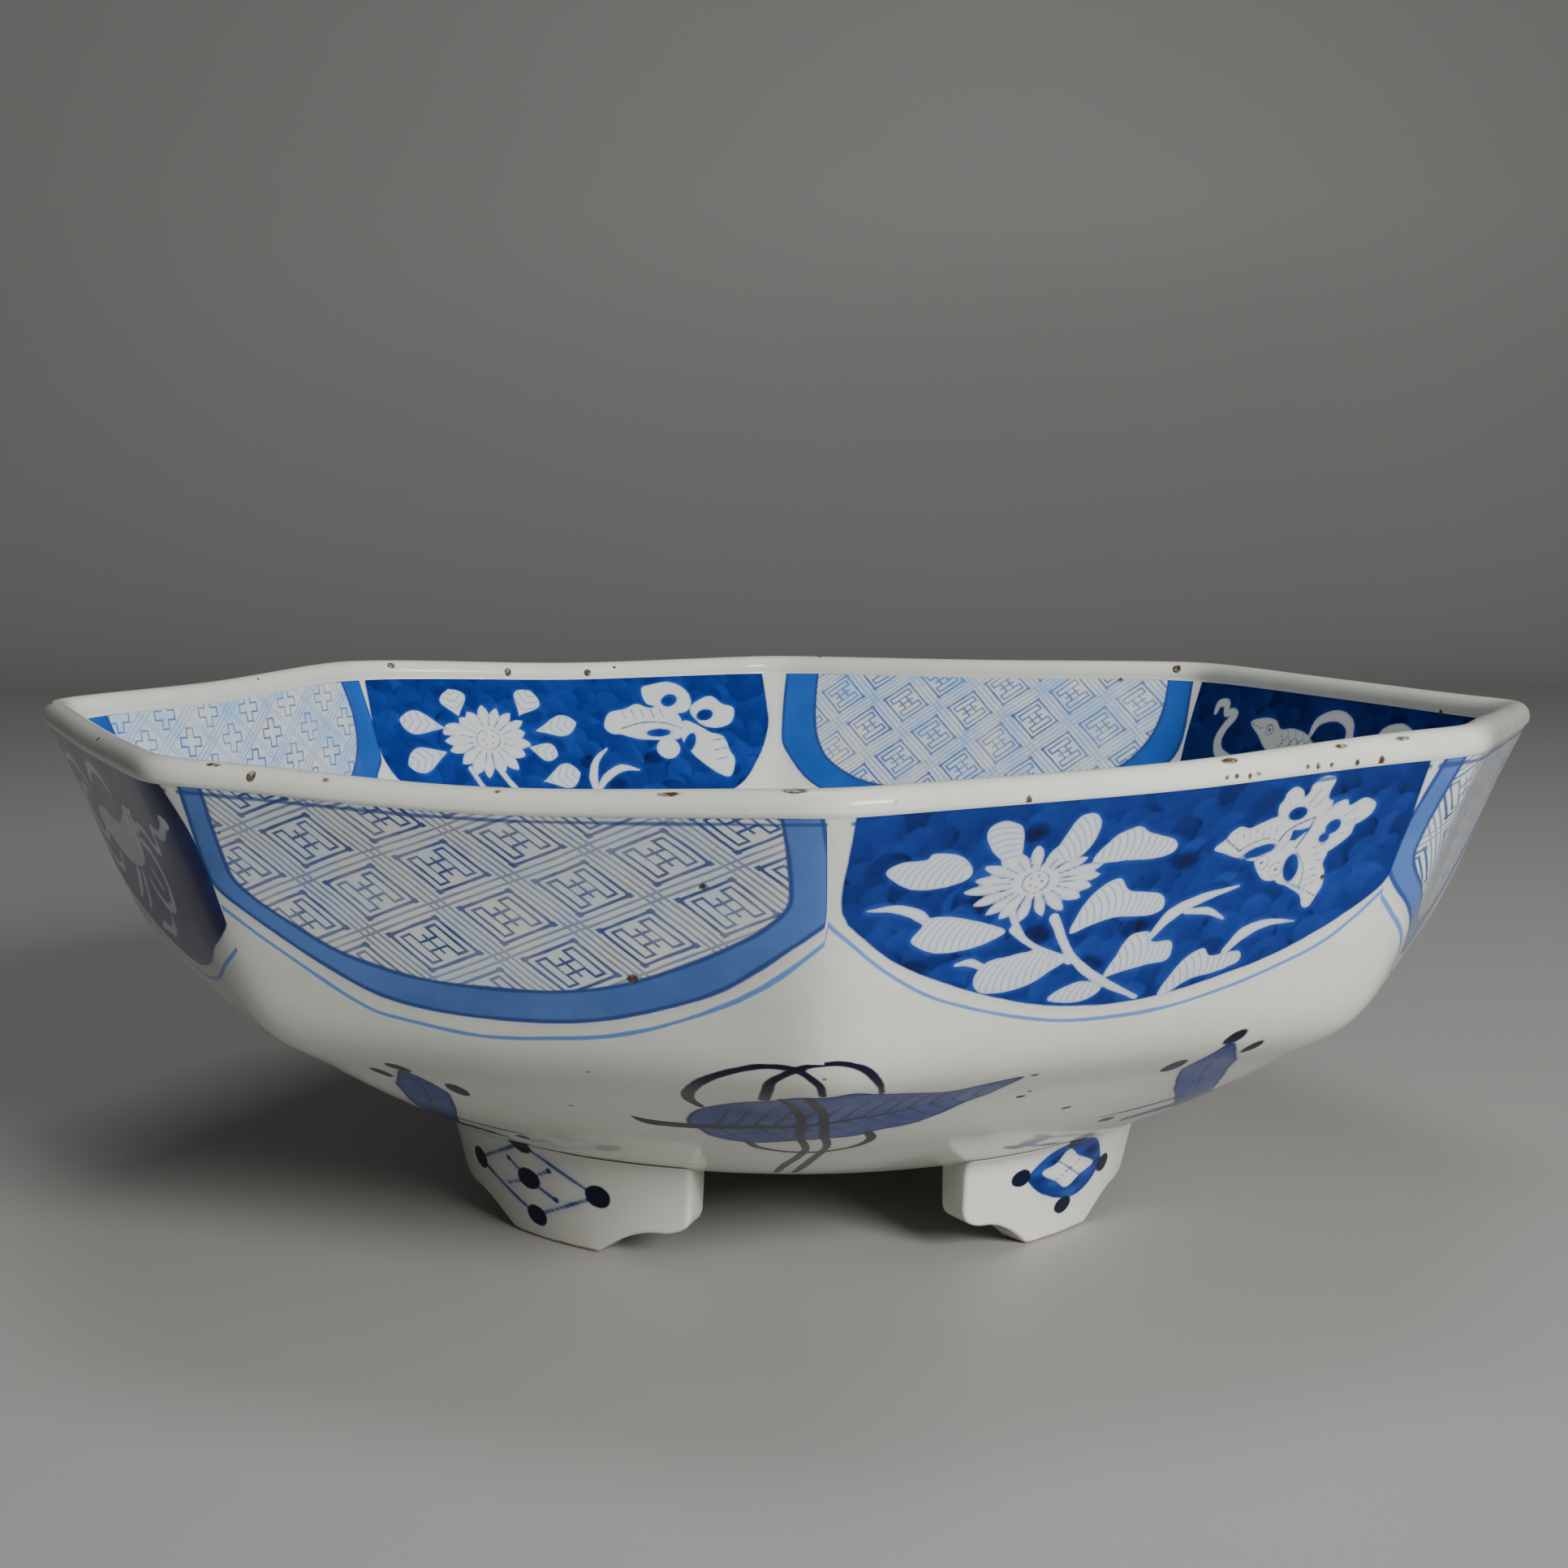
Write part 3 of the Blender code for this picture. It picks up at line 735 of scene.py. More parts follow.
def bound_leaf(sheet):
    """An artemisia leaf tied by a double ribbon, under the front corner."""
    leaf = shape_distance(sheet.x, sheet.y, (
        (31.5, 64.6), (25.5, 66.7), (19.7, 69.0), (13, 67.1), (8, 65.4), (4.4, 63.8), (0.5, 65.4),
        (-3.7, 65.8), (-7.8, 69.2), (-12, 71.6), (-17, 75.8), (-20.3, 79.4), (-22.4, 84), (-23, 88),
        (-21.2, 92), (-19.9, 95.4), (-16.6, 97.9), (-12, 98.8), (-7.8, 97.5), (-3.7, 95.4), (1.3, 93.8),
        (7.2, 92.9), (11.3, 90), (16.3, 88.3), (21.3, 83.3), (24.7, 77.8), (28, 74), (30, 69.4),
    ))
    sheet.join("wash", leaf)
    sheet.join("line", np.abs(leaf + 0.3) - 0.45)
    midrib = (
        (-33.6, 86.4), (-30.5, 89.2), (-22.8, 89.6), (-15.3, 88.4), (-3.7, 85.2), (4.7, 81.7), (13, 79),
        (21, 75),
    )
    sheet.join("ink", stroke_distance(sheet.x, sheet.y, midrib, (0.6, 3.4, 3.2, 2.6, 1.9, 1.3, 0.9, 0.4)))
    for k in range(13):
        foot = -18.0 + 3.6 * k
        root = 89.0 - 0.36 * (foot + 18.0)
        fall = max(2.5, 9.0 - 0.35 * k)
        upper = stroke_distance(sheet.x, sheet.y, (
            (foot, root), (foot + 1.6, root - 5.0), (foot + 3.8, root - 13.0 + 0.3 * k)), (0.8, 0.7, 0.5))
        lower = stroke_distance(sheet.x, sheet.y, (
            (foot, root), (foot + 2.0, root + 0.45 * fall), (foot + 5.0, root + fall)), (0.8, 0.7, 0.5))
        sheet.join("line", np.maximum(np.minimum(upper, lower), leaf + 0.8))
    for points, widths in (
        (((-19.2, 76.7), (-20.6, 72.0), (-19.6, 66.0), (-16.6, 60.0), (-12.0, 56.0), (-7.8, 54.2),
          (-3.7, 54.8), (-0.8, 59.2), (0.0, 64.6)), (1.4, 2.2, 2.3, 2.0, 1.6, 1.4, 1.6, 1.3, 1.0)),
        (((-8.4, 68.4), (-7.8, 63.0), (-7.0, 58.6), (-3.7, 54.6), (-1.2, 53.2), (2.2, 52.9), (5.5, 55.2),
          (7.6, 60.0), (8.6, 65.2)), (1.9, 1.8, 1.6, 1.5, 1.3, 1.4, 1.6, 1.4, 0.8)),
        (((-5.8, 67.6), (-3.7, 75.0), (-2.8, 81.7), (-2.9, 88.0), (-3.0, 93.3), (-2.0, 99.0), (-1.8, 104.0),
          (-3.7, 111.7), (-6.2, 119.0), (-8.7, 129.0)), (1.5, 1.6, 1.6, 1.7, 1.9, 1.6, 1.6, 1.9, 2.2, 1.6)),
        (((-2.0, 66.3), (0.1, 75.0), (0.9, 83.3), (1.3, 91.7), (2.2, 98.3), (1.8, 104.0), (0.1, 111.7),
          (-2.0, 120.8), (-3.9, 129.0)), (1.7, 1.6, 1.6, 1.8, 1.5, 1.6, 1.9, 2.2, 1.6)),
        (((-12.6, 98.8), (-11.2, 102.4), (-7.0, 105.0), (-1.2, 105.6), (4.7, 103.9), (8.8, 100.4),
          (10.4, 95.8), (9.2, 91.2)), (1.8, 2.0, 1.6, 1.5, 1.6, 1.9, 2.2, 1.8)),
    ):
        sheet.join("ink", stroke_distance(sheet.x, sheet.y, points, widths))


# How far the scrolls under each side corner sit below the highest ones
SCROLL_DROP = {1: 0.0, 3: 4.0, 5: 8.0, 7: 11.0}


def crossed_scrolls(sheet, flip, drop):
    """Two ribboned scrolls crossed under a side corner, with three round ends on each."""
    sheet = Sheet(sheet.x - 0.4 * flip * drop, sheet.y - drop, sheet.layers)
    x = sheet.x * flip
    for points, widths in (
        (((-19.5, 61.0), (-17.0, 72.0), (-12.0, 83.0), (-5.0, 94.0), (3.0, 105.0)),
         (2.0, 9.5, 9.0, 7.0, 3.0)),
        (((16.0, 64.0), (14.0, 74.0), (8.0, 86.0), (-2.0, 97.0), (-12.0, 106.0)),
         (2.0, 9.0, 9.0, 7.0, 3.0)),
    ):
        scroll = stroke_distance(x, sheet.y, points, widths)
        sheet.join("wash", scroll)
        sheet.join("line", np.abs(scroll + 0.3) - 0.3)
        sheet.join("line", stroke_distance(x, sheet.y, points, (0.5, 0.5)))
    for centre, wide, tall, turn in (
        ((-20.0, 58.0), 1.5, 2.6, 15), ((-14.3, 63.0), 1.2, 2.8, 5), ((-25.0, 69.6), 1.8, 3.6, 0),
        ((16.5, 60.6), 1.5, 2.8, -12), ((10.0, 66.6), 1.3, 3.2, 0), ((21.6, 75.0), 1.9, 2.6, 0),
        ((-20.0, 103.0), 2.2, 1.6, 30), ((10.0, 108.0), 2.2, 1.6, -30),
    ):
        sheet.join("ink", oval_distance(x, sheet.y, centre, wide, tall, turn))
    tie = stroke_distance(x, sheet.y, ((-9.0, 92.0), (-16.0, 97.0), (-24.0, 100.0)), (1.6, 2.0, 0.6))
    sheet.join("line", tie)


def kiln_specks(sheet, specks):
    for x, y, radius in specks:
        sheet.join("speck", oval_distance(sheet.x, sheet.y, (x, y), radius, radius * 0.85))


FRONT_SPECKS = (
    (33.4, 64.6, 0.8), (36.2, 75.4, 0.5), (35.4, 78.2, 0.95), (48.9, 89.0, 1.0), (18.2, 87.4, 0.45),
    (-60.6, 63.8, 0.8), (-44.6, 83.5, 0.6), (-35.0, 61.0, 0.4), (-69.0, 58.6, 0.6), (-79.0, 58.0, 0.6),
    (-88.0, 55.0, 0.7), (-61.6, 53.0, 0.5),
)
LATTICE_SPECKS = ((41.2, 15.0, 1.0), (24.5, 35.5, 1.35), (28.5, 11.0, 0.45), (-60.0, 18.0, 0.6))
LEAF_CORNERS = (0, 4)        # the corners over no foot that have a bound leaf
BELOW_SHARE = 0.62           # how much of the next side each of these paintings may reach over


def paint_below(zone):
    for corner in sorted(LEAF_CORNERS + tuple(SCROLL_DROP)):
        away = (zone.azimuth - corner * CORNER_STEP + math.pi) % (2 * math.pi) - math.pi
        near = np.abs(away) < CORNER_STEP * BELOW_SHARE
        layers = {name: values[near] for name, values in zone.layers.items()}
        sheet = Sheet(away[near] * BELOW_SCALE, zone.down[near], layers)
        if corner in LEAF_CORNERS:
            bound_leaf(sheet)
        else:
            crossed_scrolls(sheet, 1 if corner % 4 == 1 else -1, SCROLL_DROP[corner])
        if corner == 0:
            kiln_specks(sheet, FRONT_SPECKS)
        for name, values in sheet.layers.items():
            zone.layers[name][near] = values


# ---------------------------------------------------------------- painting the zones

def fitted(x, outside, side):
    """Stretch a side on to the width its panel was first drawn at."""
    if not outside or side not in STRETCHED:
        return x
    (start, end), (drawn_start, drawn_end) = STRETCHED[side]
    return drawn_start + (x - start) * (drawn_end - drawn_start) / (end - start)


FLOWER_EDGES, BIRD_EDGES = (FIGURE_OUT_EDGE, FIGURE_OUT_LINE), (BIRD_OUT_EDGE, BIRD_OUT_LINE)
OUT_EDGES = {0: FLOWER_EDGES, 2: BIRD_EDGES, 4: FLOWER_EDGES, 6: BIRD_EDGES}

# Sides outside whose panels are wider than drawn: their own edges, and the edges as drawn
STRETCHED = {1: ((-74.0, 60.0), (-59.5, 64.8)), 6: ((-62.5, 68.5), (-62.5, 64.3))}


OUTSIDE_FIGURES = {0: outside_flowers, 2: outside_bird, 4: outside_flowers, 6: outside_bird}
INSIDE_FIGURES = {0: inside_flowers, 2: inside_bird, 4: inside_flowers, 6: inside_bird}
MIRRORED_INSIDE = 6          # the side whose bird faces the other way
FIRST_SEED = 10


def paint_walls(zone):
    outside = zone.kind == "outside"
    for side in range(CORNERS):
        here = zone.side == side
        layers = {name: values[here] for name, values in zone.layers.items()}
        x = fitted(unfolded(zone.radius[here], zone.azimuth[here], side), outside, side)
        y = zone.down[here]
        sheet = Sheet(x, y, layers)
        if side % 2:
            edge = LATTICE_OUT_EDGE if outside else LATTICE_IN_EDGE
            sheet.layers["panel"] = edge_distance(x, y, edge)
            field = LATTICE_OUT_FIELD if outside else LATTICE_IN_FIELD
            sheet.layers["field"] = edge_distance(x, y, field)
            if outside:
                sheet.layers["outline"] = edge_distance(x, y, LATTICE_OUT_LINE)
                kiln_specks(sheet, LATTICE_SPECKS)
        else:
            edge, line = OUT_EDGES[side]
            sheet.layers["panel"] = edge_distance(x, y, edge if outside else FIGURE_IN_EDGE)
            if outside:
                sheet.layers["outline"] = edge_distance(x, y, line)
            if side == MIRRORED_INSIDE and not outside:
                sheet = Sheet(-x, y, layers)
            figures = OUTSIDE_FIGURES if outside else INSIDE_FIGURES
            figures[side](sheet, FIRST_SEED + side)
        for name, values in sheet.layers.items():
            zone.layers[name][here] = values


# Brown chips and pits of the lip: azimuth and angle over the lip in degrees, length and width in mm
LIP_CHIPS = (
    (-32.5, 45, 2.0, 1.1), (-20.7, 55, 2.0, 1.0), (-9.5, 52, 4.6, 1.3), (-2.1, 70, 4.4, 1.9),
    (11.8, -14, 1.2, 2.0), (26.3, 55, 3.6, 1.6), (34.6, 50, 3.0, 1.2), (39.2, 50, 3.2, 1.1),
    (25.8, 0, 0.9, 0.9), (26.5, 0, 1.0, 1.0), (27.5, -5, 0.9, 1.1), (28.1, -2, 1.3, 0.9),
    (31.8, 0, 1.0, 1.0), (32.6, -3, 1.0, 1.3), (33.6, -5, 1.0, 0.9), (35.5, -8, 1.1, 1.4),
    (37.3, -12, 1.3, 1.8), (-26.5, 30, 0.7, 0.6), (-40.5, 62, 3.0, 1.2), (3.5, 10, 0.7, 0.7),
    (-5.0, -2, 0.7, 0.6), (168.0, 60, 3.4, 1.4), (203.0, 75, 2.6, 1.2), (231.0, 40, 3.0, 1.2),
    (96.0, 55, 2.8, 1.3), (128.0, 70, 2.2, 1.2), (272.0, 60, 3.2, 1.2), (298.0, 45, 2.4, 1.0),
)


def paint_lip(zone):
    over = np.degrees(np.arctan2(zone.height - LIP_CENTRE[1], zone.radius - LIP_CENTRE[0])) % 360
    azimuth = np.degrees(zone.azimuth)
    for at, height, length, width in LIP_CHIPS:
        away = (azimuth - at + 180) % 360 - 180
        x, y = np.radians(away) * LIP_CENTRE[0], np.radians((over - height + 180) % 360 - 180) * LIP_RADIUS
        near = np.abs(x) < 6
        chip = oval_distance(x[near], y[near], (0, 0), length / 2, width / 2)
        zone.layers["speck"][near] = np.minimum(zone.layers["speck"][near], chip)


def paint_well(zone):
    """A double ring round the floor and one chrysanthemum spray in it."""
    x = zone.points[..., 0] / MM
    y = -zone.points[..., 1] / MM
    sheet = Sheet(x, y, zone.layers)
    radius = np.hypot(x, y)
    for ring, width in ((71.0, 1.5), (66.5, 1.1)):
        sheet.join("line", np.abs(radius - ring) - width / 2)
    flower = np.full(x.shape, FAR)
    for k in range(16):
        angle = 2 * math.pi * k / 16
        tip = (14.5 * math.cos(angle), -8 + 14.5 * math.sin(angle))
        root = (2.5 * math.cos(angle), -8 + 2.5 * math.sin(angle))
        petal = leaf_distance(x, y, root, tip, 4.8, 0.7)
        flower = np.minimum(flower, petal)
        sheet.join("line", np.abs(petal + 0.4) - 0.35)
    sheet.join("wash", flower + 0.2)
    for base, tip, width in (
        ((1, 16), (24, 8), 11), ((-1, 20), (-24, 12), 11), ((1, 26), (22, 30), 10), ((-2, 28), (-22, 36), 10),
    ):
        leaf = leaf_distance(x, y, base, tip, width, 0.55, 3)
        sheet.join("wash", leaf)
        sheet.join("line", np.abs(leaf + 0.4) - 0.4)
        sheet.join("line", stroke_distance(x, y, (base, tip), (0.9, 0.4)))
    sheet.join("line", stroke_distance(x, y, ((0, 6), (2, 20), (-2, 34), (2, 46)), (1.6, 1.8, 1.6, 0.8)))


# ---------------------------------------------------------------- the skin as one mesh

class Mesh:
    """Faces gathered as corner lists, with the panel coordinates and material of each."""

    def __init__(self):
        self.corners, self.sizes, self.panel, self.material = [], [], [], []

    def add(self, corners, panel, material):
        count, size = corners.shape
        self.corners.append(corners.reshape(-1))
        self.sizes.append(np.full(count, size))
        self.panel.append(panel.reshape(-1, 2))
        self.material.append(np.full(count, material))

    def build(self, name, points, layers, materials):
        corners = np.concatenate(self.corners).astype(np.int32)
        sizes = np.concatenate(self.sizes).astype(np.int32)
        mesh = bpy.data.meshes.new(name)
        mesh.vertices.add(len(points))
        mesh.vertices.foreach_set("co", points.astype(np.float32).ravel())
        mesh.loops.add(len(corners))
        mesh.loops.foreach_set("vertex_index", corners)
        mesh.polygons.add(len(sizes))
        mesh.polygons.foreach_set("loop_start", np.concatenate([[0], np.cumsum(sizes)[:-1]]).astype(np.int32))
        mesh.update(calc_edges=True)
        mesh.polygons.foreach_set("material_index", np.concatenate(self.material).astype(np.int32))
        sheet = mesh.uv_layers.new(name="side")
        sheet.data.foreach_set("uv", (np.concatenate(self.panel) * PANEL_SCALE).astype(np.float32).ravel())
        for layer, values in layers.items():
            attribute = mesh.attributes.new(layer, "FLOAT", "POINT")
            attribute.data.foreach_set("value", values.astype(np.float32))
        for material in materials:
            mesh.materials.append(material)
        mesh.validate()
        mesh.shade_smooth()
        obj = bpy.data.objects.new(name, mesh)
        bpy.context.scene.collection.objects.link(obj)
        return obj


PANEL_SCALE = 0.005          # panel coordinates run in fifths of a metre, to stay near the unit square
FIGURES, LATTICE_OUTSIDE = 0, 1
LATTICE_INSIDE = {1: 3, 3: 2, 5: 3, 7: 2}     # the material of each side's lattice


def zip_rings(mesh, first, first_azimuths, second, second_azimuths):
    """Triangles between two rings with different columns."""
    i = j = 0
    count, other = len(first), len(second)
    faces = []
    turn = 2 * math.pi
    while i < count or j < other:
        next_i = first_azimuths[i + 1] if i + 1 < count else turn + first_azimuths[0] * (i + 1 == count)
        next_j = second_azimuths[j + 1] if j + 1 < other else turn + second_azimuths[0] * (j + 1 == other)
        if j >= other or (i < count and next_i <= next_j):
            faces.append((first[i], first[(i + 1) % count], second[j % other]))
            i += 1
        else:
            faces.append((first[i % count], second[(j + 1) % other], second[j]))
            j += 1
    corners = np.array(faces)
    mesh.add(corners, np.zeros((len(faces), 3, 2)), FIGURES)


def side_columns(zone, side):
    """The columns of a side in order round the bowl, also where they pass the last column."""
    columns = np.nonzero(zone.side[0] == side)[0]
    if np.ptp(columns) > len(columns):
        columns = np.roll(columns, -1 - int(np.argmax(np.diff(columns))))
    return columns


def build_body(materials):
    zones = skin_zones()
    for zone in zones:
        if zone.kind in ("outside", "inside"):
            zone.layers["lip"] = zone.down.copy()
            paint_walls(zone)
        if zone.kind in ("outside", "below"):
            paint_below(zone)
        if zone.kind == "lip":
            paint_lip(zone)
        if zone.kind == "well":
            paint_well(zone)
    mesh = Mesh()
    start = 0
    rings = []
    for zone in zones:
        index = start + np.arange(zone.rows * zone.columns).reshape(zone.rows, zone.columns)
        start += index.size
        walls = zone.kind in ("outside", "inside")
        for side in range(CORNERS) if walls else (None,):
            if side is None:
                columns = np.arange(zone.columns)
                panel = np.zeros((zone.rows, zone.columns + 1, 2))
            else:
                columns = side_columns(zone, side)
                turned = zone.azimuth[0, np.append(columns, (columns[-1] + 1) % zone.columns)]
                grid_radius, grid_azimuth = np.broadcast_arrays(zone.radius[:, :1], turned[None])
                across = unfolded(grid_radius, grid_azimuth, side)
                panel = np.stack([across, np.repeat(zone.down[:, :1], len(turned), 1)], -1)
            nexts = (columns + 1) % zone.columns
            quads = np.stack([index[:-1][:, columns], index[:-1][:, nexts],
                              index[1:][:, nexts], index[1:][:, columns]], -1)
            corners = np.stack([panel[:-1, :-1], panel[:-1, 1:], panel[1:, 1:], panel[1:, :-1]], -2)
            chosen = FIGURES
            if walls and side % 2:
                chosen = LATTICE_INSIDE[side] if zone.kind == "inside" else LATTICE_OUTSIDE
            mesh.add(quads.reshape(-1, 4), corners, chosen)
        rings.append((index, zone.azimuth[0]))
    for (lower, lower_azimuths), (upper, upper_azimuths) in zip(rings, rings[1:]):
        zip_rings(mesh, lower[-1], lower_azimuths, upper[0], upper_azimuths)
    for ring in (rings[0][0][0][::-1], rings[-1][0][-1]):
        mesh.add(ring[None], np.zeros((1, len(ring), 2)), FIGURES)
    points = np.concatenate([zone.points.reshape(-1, 3) for zone in zones])
    layers = {name: np.concatenate([zone.layers[name].ravel() for zone in zones]) for name in LAYERS}
    return mesh.build("painted_bowl", points, layers, materials)


# ---------------------------------------------------------------- the bracket feet

FEET = {
    "foot_front_left": (-44.4, 1.10, "lattice"), "foot_front_right": (46.2, 0.90, "ring"),
    "foot_back_right": (135.0, 1.0, "lattice"), "foot_back_left": (225.0, 1.0, "ring"),
}
FOOT_OUTER = (77.5, 82.5)    # radius at the table and at the join
FOOT_INNER = (70.2, 71.5)
FOOT_TOP_FLARE = 0.06
PAD_HALF = math.radians(8.7)
OGEE_END = math.radians(19.0)
EAR_END = math.radians(23.6)
OGEE_RISE = 6.5
EAR_RISE = 3.7
FOOT_SCALE = 80.0            # the feet are painted at this radius
FOOT_EDGE = 1.1              # radius of the worn edges
FOOT_SINK = 0.6              # how far the luted top runs into the bowl
COVE = 1.3                   # slip smoothed into the join stands this far out
COVE_FALL = 1.2
FOOT_COLUMNS = 120
EDGE_STEPS = 5
FOOT_ROWS = (34, 14, 17, 14)  # down the face, across the bottom, up the back, across the top


def underside(radius):
    outside, _ = section_curves()
    return np.interp(radius, outside[::-1, 0], outside[::-1, 1])


def foot_bottom(angle):
    angle = np.abs(angle)
    ogee = OGEE_RISE * np.sin(math.pi / 2 * np.clip((angle - PAD_HALF) / (OGEE_END - PAD_HALF), 0, 1))
    share = np.clip((angle - OGEE_END) / (EAR_END - OGEE_END), 0, 1)
    return ogee + EAR_RISE * (1 - np.sqrt(1 - share * share))


def rounded_loop(corners, inset, edge, rows):
    """A four-cornered loop drawn in by an inset, with rounded edges and rows of points between."""
    corners = np.asarray(corners, float)
    moved = []
    for k in range(4):
        before, here, after = corners[k - 1], corners[k], corners[(k + 1) % 4]
        a = (before - here) / np.linalg.norm(before - here)
        b = (after - here) / np.linalg.norm(after - here)
        moved.append(here + (a + b) * inset)
    moved = np.array(moved)
    loop = []
    for k in range(4):
        before, here, after = moved[k - 1], moved[k], moved[(k + 1) % 4]
        a = (before - here) / np.linalg.norm(before - here)
        b = (after - here) / np.linalg.norm(after - here)
        for step in range(EDGE_STEPS + 1):
            share = step / EDGE_STEPS
            loop.append(here + edge * (a * (1 - share) ** 2 + b * share ** 2))
        start, end = here + edge * b, after - edge * (after - here) / np.linalg.norm(after - here)
        for step in range(1, rows[k]):
            loop.append(start + (end - start) * step / rows[k])
    return np.array(loop)


def build_foot(name, azimuth_degrees, width, motif, material):
    azimuth = math.radians(azimuth_degrees)
    join = underside(FOOT_OUTER[1])
    half = EAR_END * (1 - 1e-4)
    ends = np.arange(1, 7) / 7
    near_end = FOOT_EDGE * (1 - np.cos(math.pi / 2 * ends)) / FOOT_SCALE
    inner = np.linspace(near_end[-1] + 0.004, 2 * half - near_end[-1] - 0.004, FOOT_COLUMNS)
    offsets = np.concatenate([near_end, inner, 2 * half - near_end[::-1]])
    angles = offsets - half
    points, xs, ys = [], [], []
    for angle, offset in zip(angles, offsets):
        gap = min(offset, 2 * half - offset) * FOOT_SCALE
        inset = FOOT_EDGE - math.sqrt(max(FOOT_EDGE ** 2 - (FOOT_EDGE - min(gap, FOOT_EDGE)) ** 2, 0.0))
        bottom = float(foot_bottom(angle))
        outer_low = FOOT_OUTER[0] + (FOOT_OUTER[1] - FOOT_OUTER[0]) * bottom / join
        corners = (
            (FOOT_OUTER[1], join + FOOT_SINK), (outer_low, bottom),
            (FOOT_INNER[0], bottom), (FOOT_INNER[1], float(underside(FOOT_INNER[1])) + FOOT_SINK),
        )
        loop = rounded_loop(corners, inset, FOOT_EDGE * 0.8, FOOT_ROWS)
        radius, height = loop[:, 0], loop[:, 1]
        outward = smoothstep(FOOT_INNER[1], FOOT_OUTER[1], radius)
        radius = radius + COVE * np.exp((height - join) / COVE_FALL) * outward
        turned = azimuth + width * angle * (1 + FOOT_TOP_FLARE * height / join)
        points.append(np.stack([radius * np.sin(turned), -radius * np.cos(turned), height], 1) * MM)
        xs.append((turned - azimuth) * FOOT_SCALE)
        ys.append(join + 0.3 - height)
    points = np.array(points)
    columns, rows = points.shape[:2]
    x, y = np.array(xs), np.array(ys)
    outer = np.hypot(points[..., 0], points[..., 1]) / MM > (FOOT_OUTER[0] + FOOT_INNER[1]) / 2
    layers = {key: np.full(x.shape, value) for key, value in LAYERS.items()}
    sheet = Sheet(np.where(outer, x, FAR * 2), y, layers)
    FOOT_MOTIFS[motif](sheet)
    index = np.arange(points.size // 3).reshape(columns, rows)
    mesh = Mesh()
    around = np.roll(index, -1, axis=1)
    quads = np.stack([index[:-1], around[:-1], around[1:], index[1:]], -1).reshape(-1, 4)
    mesh.add(quads, np.zeros((len(quads), 4, 2)), 0)
    mesh.add(index[0][::-1][None], np.zeros((1, rows, 2)), 0)
    mesh.add(index[-1][None], np.zeros((1, rows, 2)), 0)
    flat = {key: values.ravel() for key, values in sheet.layers.items()}
    return mesh.build("glazed_" + name, points.reshape(-1, 3), flat, [material])


def lattice_motif(sheet):
    """A slanted square of fine lines with a dot at each corner and one in its middle."""
    left, top, right, low, middle = (-23.5, 8.0), (-3.5, 0.4), (16.0, 9.2), (-3.5, 17.0), (-4.0, 8.6)
    for start, end in ((left, top), (top, right), (right, low), (low, left)):
        draw(sheet, (start, end), 0.8, "wash")
    draw(sheet, ((-10.0, 5.0), middle, (4.0, 12.2)), 0.8, "wash")
    draw(sheet, ((-12.0, 11.2), middle, (3.4, 5.4)), 0.7, "wash")
    for centre, wide, tall in (
        (left, 3.1, 2.5), (top, 3.3, 2.2), (right, 3.3, 2.6), (low, 3.3, 2.4), (middle, 3.7, 2.4),
    ):
        sheet.join("ink", oval_distance(sheet.x, sheet.y, centre, wide, tall))
    for centre in ((-10.0, 5.0), (4.0, 12.0), (3.2, 5.5)):
        sheet.join("line", oval_distance(sheet.x, sheet.y, centre, 0.9, 0.7))


def ring_motif(sheet):
    """A broad wash ring round a four-paned square window, with four dots."""
    ring = shape_distance(sheet.x, sheet.y, (
        (-14.5, 6.4), (-10.0, 2.4), (-3.0, -0.2), (4.0, 0.6), (9.0, 3.0), (12.0, 8.0), (9.4, 11.4),
        (4.0, 13.8), (-2.0, 13.6), (-8.0, 11.8), (-12.0, 9.4),
    ))
    window = shape_distance(sheet.x, sheet.y, (
        (-2.8, 2.0), (1.5, 4.4), (8.4, 7.4), (3.6, 9.0), (-1.0, 11.2), (-5.0, 9.0), (-10.2, 6.2), (-6.0, 4.6),
    ))
    sheet.join("panel", np.maximum(ring, -window))
    depth = 0.28 + 0.3 * np.sin(sheet.x * 0.55 + 1.2) * np.cos(sheet.y * 0.7) + 0.12 * np.sin(sheet.y * 1.9)
    sheet.layers["depth"] = np.clip(depth, 0.0, 1.0)
    draw(sheet, ((-6.4, 3.8), (3.6, 9.4)), 0.45)
    draw(sheet, ((3.6, 4.8), (-6.0, 9.0)), 0.45)
    for centre, wide, tall in (
        ((-16.5, 6.2), 2.7, 2.0), ((13.6, 8.8), 2.8, 2.1), ((-1.0, 15.3), 3.0, 2.0), ((-2.0, 0.0), 2.8, 1.6),
    ):
        sheet.join("ink", oval_distance(sheet.x, sheet.y, centre, wide, tall))


FOOT_MOTIFS = {"lattice": lattice_motif, "ring": ring_motif}


# ---------------------------------------------------------------- materials

GLAZE_WHITE = (0.74, 0.755, 0.69, 1.0)
GLAZE_SHADE = (0.65, 0.67, 0.61, 1.0)
LINE_BLUE = (0.028, 0.062, 0.250, 1.0)
PALE_LINE_BLUE = (0.14, 0.28, 0.64, 1.0)
WASH_BLUE = (0.010, 0.042, 0.260, 1.0)
BAND_OUTSIDE = ((0.092, 0.190, 0.50, 1.0), (0.062, 0.140, 0.40, 1.0))
BAND_INSIDE = ((0.022, 0.115, 0.46, 1.0), (0.012, 0.078, 0.38, 1.0))
TINT_OUTSIDE = (0.57, 0.68, 0.78, 1.0)
TINT_INSIDE = (0.40, 0.59, 0.84, 1.0)
FRET_BLUE_INSIDE = (0.055, 0.13, 0.42, 1.0)
